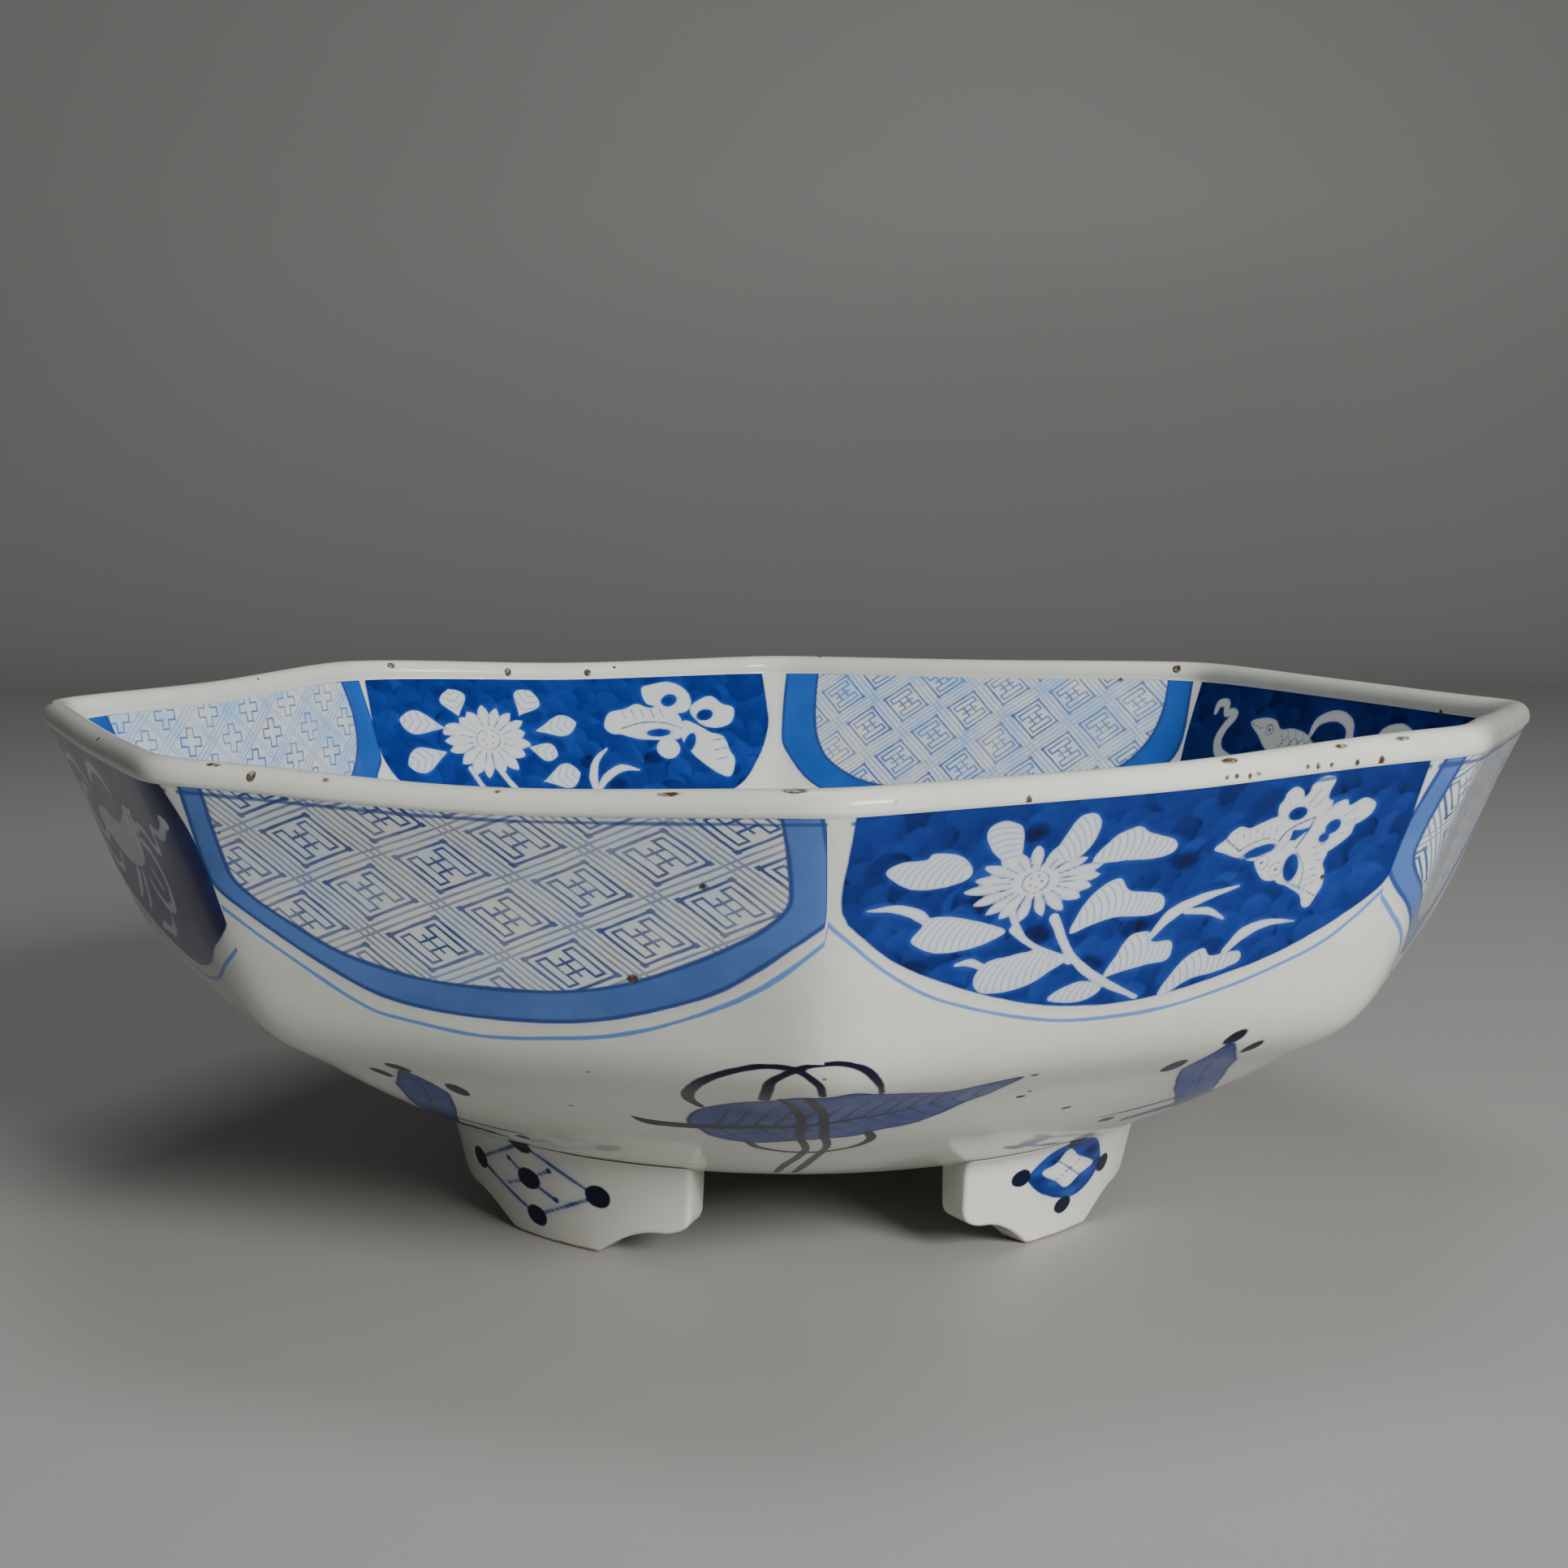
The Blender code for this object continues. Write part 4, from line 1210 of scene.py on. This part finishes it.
COBALT_STOPS = (
    (0.0, (0.014, 0.062, 0.320, 1.0)),
    (0.28, (0.007, 0.031, 0.215, 1.0)),
    (0.55, (0.0035, 0.014, 0.115, 1.0)),
    (0.8, (0.002, 0.007, 0.050, 1.0)), (1.0, (0.0015, 0.003, 0.018, 1.0)),
)
DEEP_LINE_BLUE = (0.007, 0.014, 0.075, 1.0)
INK = (0.003, 0.005, 0.028, 1.0)
SPECK_BROWN = (0.075, 0.038, 0.018, 1.0)
CLAY = (0.52, 0.40, 0.28, 1.0)
GLAZE_IOR = 1.52
GLAZE_SHINE = 0.24


class Nodes:
    """Short names for adding shader nodes and linking them."""

    def __init__(self, name):
        self.material = bpy.data.materials.new(name)
        self.material.use_nodes = True
        self.tree = self.material.node_tree
        self.shader = self.tree.nodes["Principled BSDF"]
        self.coordinates = self.tree.nodes.new("ShaderNodeTexCoord").outputs["Object"]

    def put(self, socket, value):
        if isinstance(value, bpy.types.NodeSocket):
            self.tree.links.new(value, socket)
        else:
            socket.default_value = value

    def math(self, operation, *values):
        node = self.tree.nodes.new("ShaderNodeMath")
        node.operation = operation
        for socket, value in zip(node.inputs, values):
            self.put(socket, value)
        return node.outputs[0]

    def mix(self, share, first, second):
        node = self.tree.nodes.new("ShaderNodeMix")
        node.data_type = "RGBA"
        self.put(node.inputs[0], share)
        self.put(node.inputs[6], first)
        self.put(node.inputs[7], second)
        return node.outputs[2]

    def noise(self, scale, detail=2.0, vector=None, roughness=0.5):
        node = self.tree.nodes.new("ShaderNodeTexNoise")
        node.inputs["Scale"].default_value = scale
        node.inputs["Detail"].default_value = detail
        node.inputs["Roughness"].default_value = roughness
        self.put(node.inputs["Vector"], vector or self.coordinates)
        return node.outputs["Fac"]

    def ramp(self, value, low, high, start=0.0, end=1.0):
        node = self.tree.nodes.new("ShaderNodeMapRange")
        node.interpolation_type = "SMOOTHSTEP"
        for socket, number in zip(node.inputs, (value, low, high, start, end)):
            self.put(socket, number)
        return node.outputs[0]

    def layer(self, name):
        node = self.tree.nodes.new("ShaderNodeAttribute")
        node.attribute_name = name
        return node.outputs["Fac"]

    def inside(self, distance, softness=0.16):
        """1 where a signed distance is negative, with a soft edge that many millimetres wide."""
        return self.ramp(distance, softness, -softness)

    def stops(self, value, stops):
        node = self.tree.nodes.new("ShaderNodeValToRGB")
        ramp = node.color_ramp
        while len(ramp.elements) < len(stops):
            ramp.elements.new(0.5)
        for element, (position, colour) in zip(ramp.elements, stops):
            element.position = position
            element.color = colour
        self.put(node.inputs[0], value)
        return node.outputs[0]


def white_glaze(nodes):
    """The bare glaze: faintly green-grey white, cloudier where it lies thick."""
    cloud = nodes.noise(14.0, 3.0)
    fine = nodes.noise(240.0, 2.0)
    share = nodes.math("ADD", nodes.math("MULTIPLY", cloud, 0.8), nodes.math("MULTIPLY", fine, 0.2))
    return nodes.mix(nodes.ramp(share, 0.35, 0.75), GLAZE_WHITE, GLAZE_SHADE)


def trembling(nodes, distance, amount=0.22, scale=330.0):
    """A distance that wanders as a brush does."""
    wander = nodes.math("MULTIPLY", nodes.math("SUBTRACT", nodes.noise(scale, 2.0), 0.5), 2 * amount)
    return nodes.math("ADD", distance, wander)


def pinholes(nodes, scale, radius, rarity):
    """1 on a scatter of round specks, most of them left out."""
    cells = nodes.tree.nodes.new("ShaderNodeTexVoronoi")
    cells.inputs["Scale"].default_value = scale
    nodes.put(cells.inputs["Vector"], nodes.coordinates)
    parts = nodes.tree.nodes.new("ShaderNodeSeparateColor")
    nodes.put(parts.inputs[0], cells.outputs["Color"])
    kept = nodes.math("GREATER_THAN", parts.outputs[0], rarity)
    size = nodes.math("MULTIPLY", nodes.math("MULTIPLY", parts.outputs[1], radius), kept)
    return nodes.math("LESS_THAN", cells.outputs["Distance"], size)


def glazed(nodes, colour, cover):
    """The clear glossy glaze over a painted colour, with its specks, pits, wear and bare foot rims."""
    split = nodes.tree.nodes.new("ShaderNodeSeparateXYZ")
    nodes.put(split.inputs[0], nodes.coordinates)
    height = split.outputs[2]
    tiny = pinholes(nodes, 210.0, 0.10, 0.965)
    spots = pinholes(nodes, 75.0, 0.085, 0.95)
    rim_spots = pinholes(nodes, 130.0, 0.22, 0.78)
    near_rim = nodes.ramp(height, 0.1065, 0.109)
    rim_spots = nodes.math("MULTIPLY", rim_spots, near_rim)
    speck = nodes.inside(trembling(nodes, nodes.layer("speck"), 0.2, 900.0), 0.2)
    dirt = nodes.math("MAXIMUM", nodes.math("MAXIMUM", tiny, spots), nodes.math("MAXIMUM", rim_spots, speck))
    dirt_share = nodes.math("MULTIPLY", dirt, nodes.ramp(nodes.noise(700.0, 2.0), 0.3, 0.55, 0.55, 1.0))
    colour = nodes.mix(dirt_share, colour, SPECK_BROWN)
    bare = nodes.ramp(trembling(nodes, nodes.math("MULTIPLY", height, 1000.0), 0.5, 250.0), 0.9, 0.3)
    colour = nodes.mix(bare, colour, CLAY)
    nodes.put(nodes.shader.inputs["Base Color"], colour)
    smear = nodes.ramp(nodes.noise(38.0, 5.0), 0.3, 0.75, 0.07, 0.15)
    rough = nodes.math("ADD", smear, nodes.math("MULTIPLY", nodes.math("MAXIMUM", bare, dirt), 0.45))
    nodes.put(nodes.shader.inputs["Roughness"], rough)
    nodes.shader.inputs["IOR"].default_value = GLAZE_IOR
    nodes.shader.inputs["Specular IOR Level"].default_value = GLAZE_SHINE
    waves = nodes.math("MULTIPLY", nodes.noise(26.0, 2.0), 0.9)
    peel = nodes.math("MULTIPLY", nodes.noise(210.0, 2.0), 0.10)
    pits = nodes.math("MULTIPLY", dirt, -0.35)
    painted = nodes.math("MULTIPLY", cover, 0.02)
    relief = nodes.math("ADD", nodes.math("ADD", waves, peel), nodes.math("ADD", pits, painted))
    bump = nodes.tree.nodes.new("ShaderNodeBump")
    bump.inputs["Strength"].default_value = 0.35
    bump.inputs["Distance"].default_value = 0.0009
    nodes.put(bump.inputs["Height"], relief)
    nodes.put(nodes.shader.inputs["Normal"], bump.outputs[0])
    return nodes.material


def thin_line(nodes, colour, distance, width, blue, softness=0.2, strength=1.0):
    """A thin line along a signed distance, thick and thin as the brush was pressed."""
    press = nodes.math("MULTIPLY", nodes.ramp(nodes.noise(55.0, 2.0), 0.3, 0.7, 0.75, 1.2), width / 2)
    gap = nodes.math("SUBTRACT", nodes.math("ABSOLUTE", trembling(nodes, distance, 0.15, 120.0)), press)
    mark = nodes.math("MULTIPLY", nodes.inside(gap, softness), strength)
    return nodes.mix(mark, colour, blue)


def lip_line(nodes, colour):
    """The blue line that closes the top of each panel, close under the lip."""
    gap = nodes.math("SUBTRACT", nodes.layer("lip"), 1.25)
    in_panel = nodes.inside(nodes.math("SUBTRACT", nodes.layer("panel"), 0.7), 0.3)
    over_panel = nodes.math("MULTIPLY", in_panel, 0.85)
    return thin_line(nodes, colour, gap, 0.9, LINE_BLUE, 0.3, over_panel)


def halo(nodes, colour, distance):
    """Blue that bled a little into the glaze round a painted edge."""
    bleed = nodes.math("MULTIPLY", nodes.ramp(distance, 2.2, 0.0), 0.16)
    return nodes.mix(bleed, colour, PALE_LINE_BLUE)


def figure_material():
    nodes = Nodes("painted_porcelain")
    panel = trembling(nodes, nodes.layer("panel"), 0.3, 160.0)
    field = trembling(nodes, nodes.layer("field"), 0.16, 420.0)
    line = trembling(nodes, nodes.layer("line"), 0.1, 500.0)
    wash = trembling(nodes, nodes.layer("wash"), 0.3, 200.0)
    ink = trembling(nodes, nodes.layer("ink"), 0.25, 260.0)
    white = white_glaze(nodes)
    white = halo(nodes, white, nodes.math("MINIMUM", nodes.layer("panel"), nodes.layer("wash")))
    colour = thin_line(nodes, white, nodes.layer("outline"), 0.85, PALE_LINE_BLUE)
    colour = lip_line(nodes, colour)
    pool = nodes.ramp(nodes.noise(120.0, 3.0), 0.3, 0.7, 0.9, 1.0)
    washed = nodes.math("MULTIPLY", nodes.inside(wash, 0.3), pool)
    colour = nodes.mix(washed, colour, WASH_BLUE)
    outside_white = nodes.inside(nodes.math("MULTIPLY", field, -1.0), 0.2)
    ground = nodes.math("MULTIPLY", nodes.inside(panel, 0.25), outside_white)
    mottle = nodes.math("MULTIPLY", nodes.math("SUBTRACT", nodes.noise(260.0, 3.0, roughness=0.6), 0.5), 0.3)
    depth = nodes.math("ADD", nodes.layer("depth"), mottle)
    depth = nodes.math("SUBTRACT", depth, nodes.ramp(nodes.layer("field"), 1.3, 0.1, 0.0, 0.22))
    colour = nodes.mix(ground, colour, nodes.stops(depth, COBALT_STOPS))
    phase = nodes.layer("vein")
    to_vein = nodes.math("ABSOLUTE", nodes.math("SUBTRACT", phase, nodes.math("ROUND", phase)))
    inside_white = nodes.inside(nodes.math("ADD", nodes.layer("field"), 0.35), 0.25)
    vein = nodes.math("MULTIPLY", nodes.ramp(to_vein, 0.17, 0.07), inside_white)
    edge_wash = nodes.ramp(nodes.layer("field"), -0.9, 0.0, 0.0, 0.28)
    edge_wash = nodes.math("MULTIPLY", edge_wash, nodes.inside(nodes.layer("panel"), 0.3))
    edge_wash = nodes.math("MULTIPLY", edge_wash, nodes.math("SUBTRACT", 1.0, ground))
    colour = nodes.mix(edge_wash, colour, PALE_LINE_BLUE)
    colour = nodes.mix(nodes.math("MULTIPLY", vein, 0.62), colour, PALE_LINE_BLUE)
    drawn = nodes.inside(line, 0.14)
    line_blue = nodes.mix(washed, LINE_BLUE, DEEP_LINE_BLUE)
    colour = nodes.mix(nodes.math("MULTIPLY", drawn, 0.85), colour, line_blue)
    inked = nodes.inside(ink, 0.2)
    colour = nodes.mix(inked, colour, INK)
    cover = nodes.math("MAXIMUM", ground, nodes.math("MAXIMUM", washed, inked))
    return glazed(nodes, colour, cover)


LATTICE_SEAM = 0.5           # where two cells meet, as a share of a cell from its middle
LATTICE_LINE = 0.34          # half the width of the painted lines, in millimetres
FRET_SHARE = (0.34, 0.33)    # half a boxed fret, as a share of its cell
CROSS_REACH = 4.0
CROSS_HALF = 1.3


def box_gap(nodes, along_it, across_it, centre, half_length, offset, half_width):
    """Signed distance to a short straight bar in lattice coordinates."""
    ends = nodes.math("ABSOLUTE", nodes.math("SUBTRACT", along_it, centre))
    sides = nodes.math("ABSOLUTE", nodes.math("SUBTRACT", across_it, offset))
    return nodes.math(
        "MAXIMUM", nodes.math("SUBTRACT", ends, half_length), nodes.math("SUBTRACT", sides, half_width))


def boxed_fret(nodes, s_size, t_size, a, b, width):
    """Signed distance to a boxed key fret, a by b from its middle."""
    box = nodes.math("MAXIMUM", nodes.math("SUBTRACT", s_size, a), nodes.math("SUBTRACT", t_size, b))
    frame = nodes.math("SUBTRACT", nodes.math("ABSOLUTE", box), width)
    uprights = box_gap(nodes, t_size, s_size, 0.54 * b, 0.18 * b, 0.0, 0.74 * a)
    crossbar = box_gap(nodes, t_size, s_size, 0.0, 0.40 * b, 0.0, 0.25 * a)
    bars = nodes.math("ABSOLUTE", nodes.math("MINIMUM", uprights, crossbar))
    key = nodes.math("SUBTRACT", bars, width * 0.85)
    post = box_gap(nodes, s_size, t_size, 0.0, 0.55 * a, 0.0, width * 0.8)
    corner_s = nodes.math("ABSOLUTE", nodes.math("SUBTRACT", s_size, a))
    corner_t = nodes.math("ABSOLUTE", nodes.math("SUBTRACT", t_size, b))
    dots = nodes.math("SUBTRACT", nodes.math("MAXIMUM", corner_s, corner_t), width * 1.7)
    return nodes.math("MINIMUM", nodes.math("MINIMUM", frame, dots), nodes.math("MINIMUM", key, post))


def cross_fret(nodes, s_share, t_share, wide, tall, width):
    """Signed distance to the outline of a cross that stands along the diagonals of its cell."""
    level = nodes.math("ABSOLUTE", nodes.math("MULTIPLY", nodes.math("ADD", s_share, t_share), wide))
    upright = nodes.math("ABSOLUTE", nodes.math("MULTIPLY", nodes.math("SUBTRACT", s_share, t_share), tall))
    bar = box_gap(nodes, level, upright, 0.0, CROSS_REACH, 0.0, CROSS_HALF)
    post = box_gap(nodes, upright, level, 0.0, CROSS_REACH, 0.0, CROSS_HALF)
    outline = nodes.math("ABSOLUTE", nodes.math("MINIMUM", bar, post))
    return nodes.math("SUBTRACT", outline, width)


def lattice_material(name, first, second, origin, blues, band_blues, tint, strength, scale, crosses=False):
    """A slanting trellis of doubled lines with a key fret in each cell, inside a washed band.

    first and second are the sides of a cell and origin the middle of one, in millimetres.
    """
    nodes = Nodes(name)
    place_node = nodes.tree.nodes.new("ShaderNodeUVMap")
    place_node.uv_map = "side"
    split = nodes.tree.nodes.new("ShaderNodeSeparateXYZ")
    nodes.put(split.inputs[0], place_node.outputs[0])
    x = nodes.math("SUBTRACT", nodes.math("DIVIDE", split.outputs[0], PANEL_SCALE), origin[0])
    y = nodes.math("SUBTRACT", nodes.math("DIVIDE", split.outputs[1], PANEL_SCALE), origin[1])
    x = trembling(nodes, x, 0.55, 62.0)
    y = trembling(nodes, y, 0.55, 47.0)
    area = first[0] * second[1] - first[1] * second[0]
    step_1 = abs(area) / math.hypot(*second)
    step_2 = abs(area) / math.hypot(*first)

    def cell(x_share, y_share):
        share = nodes.math("ADD", nodes.math("MULTIPLY", x, x_share), nodes.math("MULTIPLY", y, y_share))
        return nodes.math("SUBTRACT", share, nodes.math("ROUND", share))

    s_share = cell(second[1] / area, -second[0] / area)
    t_share = cell(-first[1] / area, first[0] / area)
    s_size = nodes.math("ABSOLUTE", nodes.math("MULTIPLY", s_share, step_1))
    t_size = nodes.math("ABSOLUTE", nodes.math("MULTIPLY", t_share, step_2))
    width = LATTICE_LINE * scale
    to_s_seam = nodes.math("SUBTRACT", LATTICE_SEAM * step_1, s_size)
    pair = nodes.math("ABSOLUTE", nodes.math("SUBTRACT", to_s_seam, 0.75 * scale))
    to_t_seam = nodes.math("SUBTRACT", LATTICE_SEAM * step_2, t_size)
    outer_pair = nodes.math("ABSOLUTE", nodes.math("SUBTRACT", to_t_seam, 1.35 * scale))
    middle = nodes.math("ABSOLUTE", to_t_seam)
    trellis = nodes.math("MINIMUM", pair, nodes.math("MINIMUM", outer_pair, middle))
    trellis = nodes.math("SUBTRACT", trellis, width * 0.8)
    if crosses:
        wide = math.hypot(first[0] + second[0], first[1] + second[1]) / 2
        tall = math.hypot(first[0] - second[0], first[1] - second[1]) / 2
        fret = cross_fret(nodes, s_share, t_share, wide, tall, width)
    else:
        fret = boxed_fret(nodes, s_size, t_size, FRET_SHARE[0] * step_1, FRET_SHARE[1] * step_2, width)
    white = white_glaze(nodes)
    panel = trembling(nodes, nodes.layer("panel"), 0.3, 150.0)
    field = trembling(nodes, nodes.layer("field"), 0.3, 150.0)
    colour = halo(nodes, white, nodes.layer("panel"))
    colour = thin_line(nodes, colour, nodes.layer("outline"), 0.95, PALE_LINE_BLUE)
    in_field = nodes.inside(field, 0.2)
    in_panel = nodes.inside(panel, 0.2)
    tinted = nodes.mix(nodes.ramp(nodes.noise(90.0, 3.0), 0.3, 0.75), white, tint)
    colour = nodes.mix(in_field, colour, tinted)
    press = nodes.ramp(nodes.noise(85.0, 3.0), 0.25, 0.7, 0.68 * strength, strength)
    lines = nodes.inside(trembling(nodes, trellis, 0.12, 300.0), 0.14)
    lines = nodes.math("MULTIPLY", nodes.math("MULTIPLY", lines, in_field), press)
    colour = nodes.mix(nodes.math("MULTIPLY", lines, 0.72), colour, blues[0])
    frets = nodes.inside(trembling(nodes, fret, 0.14, 300.0), 0.14)
    frets = nodes.math("MULTIPLY", nodes.math("MULTIPLY", frets, in_field), press)
    colour = nodes.mix(frets, colour, blues[1])
    streaks = nodes.ramp(nodes.noise(45.0, 4.0, roughness=0.6), 0.3, 0.72)
    band = nodes.mix(streaks, *band_blues)
    in_band = nodes.math("MULTIPLY", in_panel, nodes.math("SUBTRACT", 1.0, in_field))
    colour = nodes.mix(in_band, colour, band)
    for layer, inset in (("panel", 0.4), ("field", -0.2)):
        edge = nodes.math("ADD", nodes.layer(layer), inset)
        colour = thin_line(nodes, colour, edge, 0.9, LINE_BLUE, 0.25, 0.9)
    colour = lip_line(nodes, colour)
    return glazed(nodes, colour, nodes.math("MAXIMUM", in_band, nodes.math("MAXIMUM", lines, frets)))


# ---------------------------------------------------------------- stage, lights and camera

def camera():
    data = bpy.data.cameras.new("camera")
    data.sensor_width = 36.0
    data.lens = 55.67
    data.clip_start = 0.01
    obj = bpy.data.objects.new("camera", data)
    obj.location = (-0.02147, -0.56622, 0.15597)
    obj.rotation_euler = (math.radians(83.653), 0.0, math.radians(-1.951))
    bpy.context.scene.collection.objects.link(obj)
    bpy.context.scene.camera = obj


def area_light(name, location, aim, size, power, colour=(1.0, 1.0, 1.0)):
    data = bpy.data.lights.new(name, "AREA")
    data.shape = "RECTANGLE"
    data.size, data.size_y = size
    data.energy = power
    data.color = colour
    obj = bpy.data.objects.new(name, data)
    obj.location = location
    direction = Vector(aim) - Vector(location)
    obj.rotation_euler = direction.to_track_quat("-Z", "Y").to_euler()
    bpy.context.scene.collection.objects.link(obj)


def lights():
    area_light("key", (0.82, -1.36, 0.72), (0.0, 0.0, 0.07), (0.6, 0.5), 35.0, (1.0, 0.985, 0.95))
    area_light("top", (0.05, 0.1, 1.5), (0.0, 0.0, 0.06), (0.7, 0.5), 5.0)
    world = bpy.data.worlds.new("studio")
    world.use_nodes = True
    background = world.node_tree.nodes["Background"]
    background.inputs[0].default_value = (0.78, 0.82, 0.88, 1.0)
    background.inputs[1].default_value = 0.07
    bpy.context.scene.world = world


def floor():
    """A plain pale floor, rising behind in one sweep."""
    depth, rise, turn = 1.6, 1.6, 0.5
    profile = [(-2.4, 0.0), (depth, 0.0)]
    bend = np.linspace(0.1, math.pi / 2, 14)
    profile += [(depth + turn * math.sin(angle), turn - turn * math.cos(angle)) for angle in bend]
    profile.append((depth + turn, turn + rise))
    points = [(x, y, z) for y, z in profile for x in (-3.0, 3.0)]
    faces = [(2 * i, 2 * i + 1, 2 * i + 3, 2 * i + 2) for i in range(len(profile) - 1)]
    mesh = bpy.data.meshes.new("floor")
    mesh.from_pydata(points, [], faces)
    mesh.shade_smooth()
    obj = bpy.data.objects.new("floor", mesh)
    bpy.context.scene.collection.objects.link(obj)
    nodes = Nodes("pale_floor")
    tone = nodes.mix(nodes.noise(3.0, 3.0), (0.385, 0.38, 0.37, 1.0), (0.41, 0.405, 0.395, 1.0))
    nodes.put(nodes.shader.inputs["Base Color"], tone)
    nodes.shader.inputs["Roughness"].default_value = 0.5
    mesh.materials.append(nodes.material)


# ---------------------------------------------------------------- the whole

def main():
    figures = figure_material()
    lattice_outside = lattice_material(
        "lattice_outside", (10.7, 10.5), (16.0, -7.4), (-24.3, 20.3), (LINE_BLUE, LINE_BLUE),
        BAND_OUTSIDE, TINT_OUTSIDE, 1.0, 1.0)
    blues_inside = (PALE_LINE_BLUE, FRET_BLUE_INSIDE)
    lattice_inside = lattice_material(
        "lattice_inside", (10.2, 7.9), (9.74, -9.98), (0.91, 13.16), blues_inside,
        BAND_INSIDE, TINT_INSIDE, 0.95, 0.9)
    lattice_crosses = lattice_material(
        "lattice_crosses", (11.9, 7.3), (6.2, -7.8), (3.06, 12.56), blues_inside,
        BAND_INSIDE, TINT_INSIDE, 0.95, 0.8, crosses=True)
    body = build_body([figures, lattice_outside, lattice_inside, lattice_crosses])
    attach(body, BODY)
    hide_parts("bowl_body")
    for name, (azimuth, width, motif) in FEET.items():
        foot = build_foot(name, azimuth, width, motif, figures)
        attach(foot, BODY)
        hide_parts(name)
    floor()
    lights()
    camera()


main()
